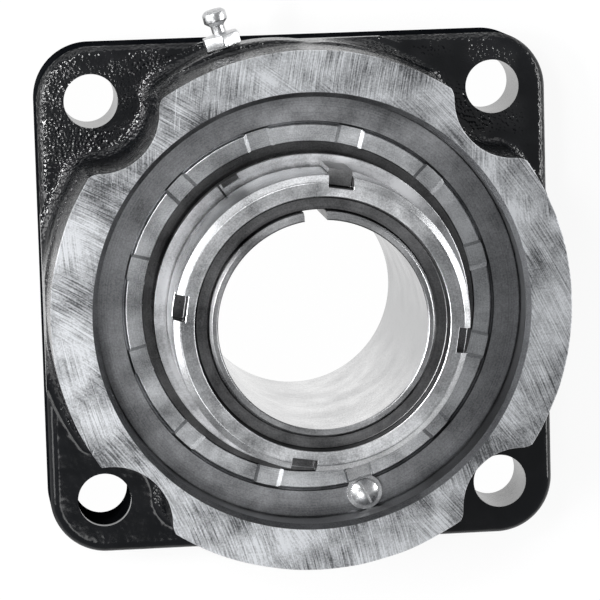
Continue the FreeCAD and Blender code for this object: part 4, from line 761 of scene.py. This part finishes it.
def sleeve_mesh():
    """The sleeve's profile turned about Z, with the thread's height sliding up one pitch for each turn."""
    ease, thread_top = SLEEVE_EASE, SLEEVE_TOP - SLEEVE_EASE
    inside = [(BORE_R, SLEEVE_TOP - BORE_EDGE), (BORE_R, SLEEVE_LOW + ease), (BORE_R + ease, SLEEVE_LOW),
              (TAPER_BIG_R, SLEEVE_LOW), (TAPER_SMALL_R, TAPER_TOP), (THREAD_PEAK_R, TAPER_TOP),
              (THREAD_PEAK_R, THREAD_FROM)]
    levels = int((thread_top - THREAD_FROM) / THREAD_PITCH * LEVELS_A_TURN)
    thread = [(None, THREAD_FROM + (thread_top - THREAD_FROM) * (level + 1) / (levels + 1))
              for level in range(levels)]
    end = [(THREAD_PEAK_R - SLEEVE_BEVEL, thread_top), (THREAD_PEAK_R - ease, SLEEVE_TOP - END_DROP),
           (THREAD_PEAK_R - ease - SLEEVE_BEVEL, SLEEVE_TOP), (BORE_R + BORE_FLARE[0], SLEEVE_TOP),
           (BORE_R + BORE_FLARE[1], SLEEVE_TOP - END_DROP)]
    profile, points = inside + thread + end, []
    for step in range(TURNED_STEPS):
        turn = 2 * math.pi * step / TURNED_STEPS
        for reach, height in profile:
            if reach is None:
                wave = abs(((height / THREAD_PITCH - step / TURNED_STEPS) % 1) * 2 - 1)
                reach = THREAD_PEAK_R - THREAD_DEEP * min(1, max(0, wave * FLANK_STEEP - CREST_WIDE))
            points.append((reach * math.cos(turn), reach * math.sin(turn), height))
    return facing_out(in_millimetres("split_sleeve", points, joined_loops(TURNED_STEPS, len(profile))))


sleeve_steel = turned_metal("sleeve_steel", dark=(0.12, 0.12, 0.123), light=(0.5, 0.505, 0.515),
                            roughness=0.3, pitch_mm=0.6, groove_mm=0.006)
# The bore's colour is bright, with painted shade darkening the side that the shade direction points to.
bore_steel = turned_metal("bore_steel", dark=(0.25, 0.253, 0.26), light=(1.0, 1.0, 1.0), roughness=0.2,
                          pitch_mm=0.6, groove_mm=0.003, anisotropic=0.0, painted_shade_way=(0.85, 0.5, 0))
# The thread's dark colour is painted shade of the locknut's recess.
shaded_thread_steel = turned_metal("shaded_thread_steel", dark=(0.04, 0.04, 0.042), light=(0.2, 0.2, 0.205),
                            roughness=0.34, pitch_mm=0.6, groove_mm=0.006)
sleeve = riding("split_sleeve", sleeve_mesh(), "shaft_group")
with_slots(sleeve, sleeve_steel, slots=1, circle_radius=(BORE_R + SLIT_AT) * MM, floor_height=SLIT_LOW * MM,
           first_angle=SLIT_ANGLE, floor_half_width=SLIT_HALF * MM, top_half_width=SLIT_HALF * MM,
           top_height=SLIT_TOP * MM, stretch=SLIT_STRETCH)
sleeve.data.materials.clear()
for material in (sleeve_steel, shaded_thread_steel, bore_steel):
    sleeve.data.materials.append(material)
# The bore is bright, but for painted shade on one side; the thread and all below it on the outside are
# painted dark, as shade within the locknut's recess.
for face in sleeve.data.polygons:
    reach = math.hypot(face.center.x, face.center.y) / MM
    face.material_index = 2 if reach < BORE_R + 0.1 else 0
    if reach > THREAD_PEAK_R - THREAD_DEEP - 0.3 and face.center.z < (SLEEVE_TOP - SLEEVE_EASE) * MM:
        face.material_index = 1
smooth_but_edges(sleeve)
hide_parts("adapter_sleeve")

# The locknut: a round steel nut with four slots for a hook spanner, a broad bevel that catches the light and
# a recessed face round the thread. It has been turned all over and left bare.
NUT_R, NUT_LOW, NUT_TOP, NUT_BEVEL_WIDE, NUT_BEVEL_DEEP = 53.0, 77.0, 107.0, 2.4, 2.2
RECESS_R, RECESS_FLOOR_R, RECESS_FLOOR, NUT_THREAD_R = 45.5, 44.9, 103.0, 40.6
NUT_SLOTS, NUT_SLOT_HALF, NUT_SLOT_FLOOR_R, NUT_SLOT_LOW = 4, 4.5, 48.6, 98.0
NUT_SLOT_ANGLE, NUT_SLOT_OVER, NUT_EASE, NUT_ROUND = math.radians(81), 1, 0.3, 0.2
nut_steel = turned_metal("nut_steel", dark=(0.14, 0.142, 0.148), light=(0.8, 0.81, 0.825), roughness=0.3,
                         pitch_mm=0.7, groove_mm=0.008, anisotropic=0.8)
# The recess's dark colour is painted shade.
recess_shade_steel = turned_metal("recess_shade_steel", dark=(0.03, 0.03, 0.031), light=(0.2, 0.2, 0.204),
                            roughness=0.32, pitch_mm=0.8, groove_mm=0.012)
profile = eased([(NUT_THREAD_R, NUT_LOW), (NUT_R, NUT_LOW), (NUT_R, NUT_TOP - NUT_BEVEL_DEEP),
                 (NUT_R - NUT_BEVEL_WIDE, NUT_TOP), (RECESS_R, NUT_TOP), (RECESS_FLOOR_R, RECESS_FLOOR),
                 (NUT_THREAD_R, RECESS_FLOOR)], NUT_EASE)
locknut = turned_piece("slotted_nut", profile, nut_steel, "shaft_group")
slot_half_long = NUT_R - NUT_SLOT_FLOOR_R + NUT_SLOT_OVER
with_slots(locknut, nut_steel, slots=NUT_SLOTS, circle_radius=(NUT_SLOT_FLOOR_R + slot_half_long) * MM,
           floor_height=NUT_SLOT_LOW * MM, first_angle=NUT_SLOT_ANGLE, floor_half_width=NUT_SLOT_HALF * MM,
           top_half_width=NUT_SLOT_HALF * MM, top_height=(NUT_TOP + 0.05) * MM,
           stretch=slot_half_long / NUT_SLOT_HALF)
rounded(locknut, NUT_ROUND, segments=2, degrees=60)
locknut.data.materials.append(recess_shade_steel)
# The recess and the insides of the slots get a dark colour: painted shade.
for face in locknut.data.polygons:
    reach, height = math.hypot(face.center.x, face.center.y) / MM, face.center.z / MM
    in_recess = reach < RECESS_R - 0.3 and height > RECESS_FLOOR - 0.4
    in_slot = NUT_SLOT_FLOOR_R - 0.2 < reach < NUT_R - 0.4 and NUT_SLOT_LOW - 0.1 < height < NUT_TOP - 1.5
    if in_recess or in_slot:
        face.material_index = 1
smooth_but_edges(locknut)
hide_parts("lock_nut")

# The grease fitting: a zinc-plated nipple with a hexagon, a waist and a flat-topped head, screwed into the
# pad. Its ball and spring sit inside the head.
HEX_ACROSS, HEX_HIGH, WAIST_R, WAIST_TOP = 13.0, 5.0, 2.5, 8.4
NIPPLE_R, NIPPLE_LOW, NIPPLE_HIGH, TIP_R, TIP_Z = 4.4, 10.0, 13.2, 3.0, 14.4
SHANK_R, SHANK_LONG, SHANK_POINT, HEX_ROUND, FITTING_EASE = 5.0, 8.0, 0.5, 0.5, 0.3
MOUTH_HOLE_R, MOUTH_HOLE_EDGE, CHAMBER_R, PASSAGE_R, CHAMBER_LOW, SEAT_Z = 1.1, 0.3, 1.8, 1.0, 6.8, 13.2
zinc = turned_metal("zinc_plate", dark=(0.3, 0.303, 0.31), light=(0.85, 0.855, 0.865), roughness=0.3,
                    pitch_mm=1.2, groove_mm=0.006, anisotropic=0.0)
profile = [(PASSAGE_R, -SHANK_LONG), (SHANK_R - SHANK_POINT, -SHANK_LONG),
           (SHANK_R, -SHANK_LONG + SHANK_POINT)]
profile += eased([(SHANK_R, HEX_HIGH - 1), (SHANK_R, HEX_HIGH), (WAIST_R, HEX_HIGH + 0.3),
                  (WAIST_R, WAIST_TOP), (NIPPLE_R, NIPPLE_LOW), (NIPPLE_R, NIPPLE_HIGH), (TIP_R, TIP_Z),
                  (MOUTH_HOLE_R + MOUTH_HOLE_EDGE, TIP_Z), (MOUTH_HOLE_R, TIP_Z - MOUTH_HOLE_EDGE)],
                 FITTING_EASE, keep=(0, 8))
profile += [(MOUTH_HOLE_R, SEAT_Z), (CHAMBER_R, SEAT_Z), (CHAMBER_R, CHAMBER_LOW), (PASSAGE_R, CHAMBER_LOW)]
nipple = turned_piece("nipple", profile, zinc, "housing_group", steps=48)
corner = HEX_ACROSS / math.sqrt(3)
outline = [(corner * math.cos(k * math.pi / 3), corner * math.sin(k * math.pi / 3)) for k in range(6)]
hexagon = slab("hexagon", outline, 0, HEX_HIGH, zinc, "housing_group")
rounded(hexagon, HEX_ROUND, degrees=50)
boolean(nipple, hexagon, "UNION")
boolean(nipple, post("passage", PASSAGE_R, -SHANK_LONG - 1, CHAMBER_LOW + 0.2, sides=32), "DIFFERENCE")
on_pad = (pad_face * math.cos(FITTING_ANGLE) * MM, pad_face * math.sin(FITTING_ANGLE) * MM, BEARING_Z * MM)
nipple.data.transform(Matrix.Translation(on_pad) @ outward)
smooth_but_edges(nipple, 20)
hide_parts("grease_fitting")
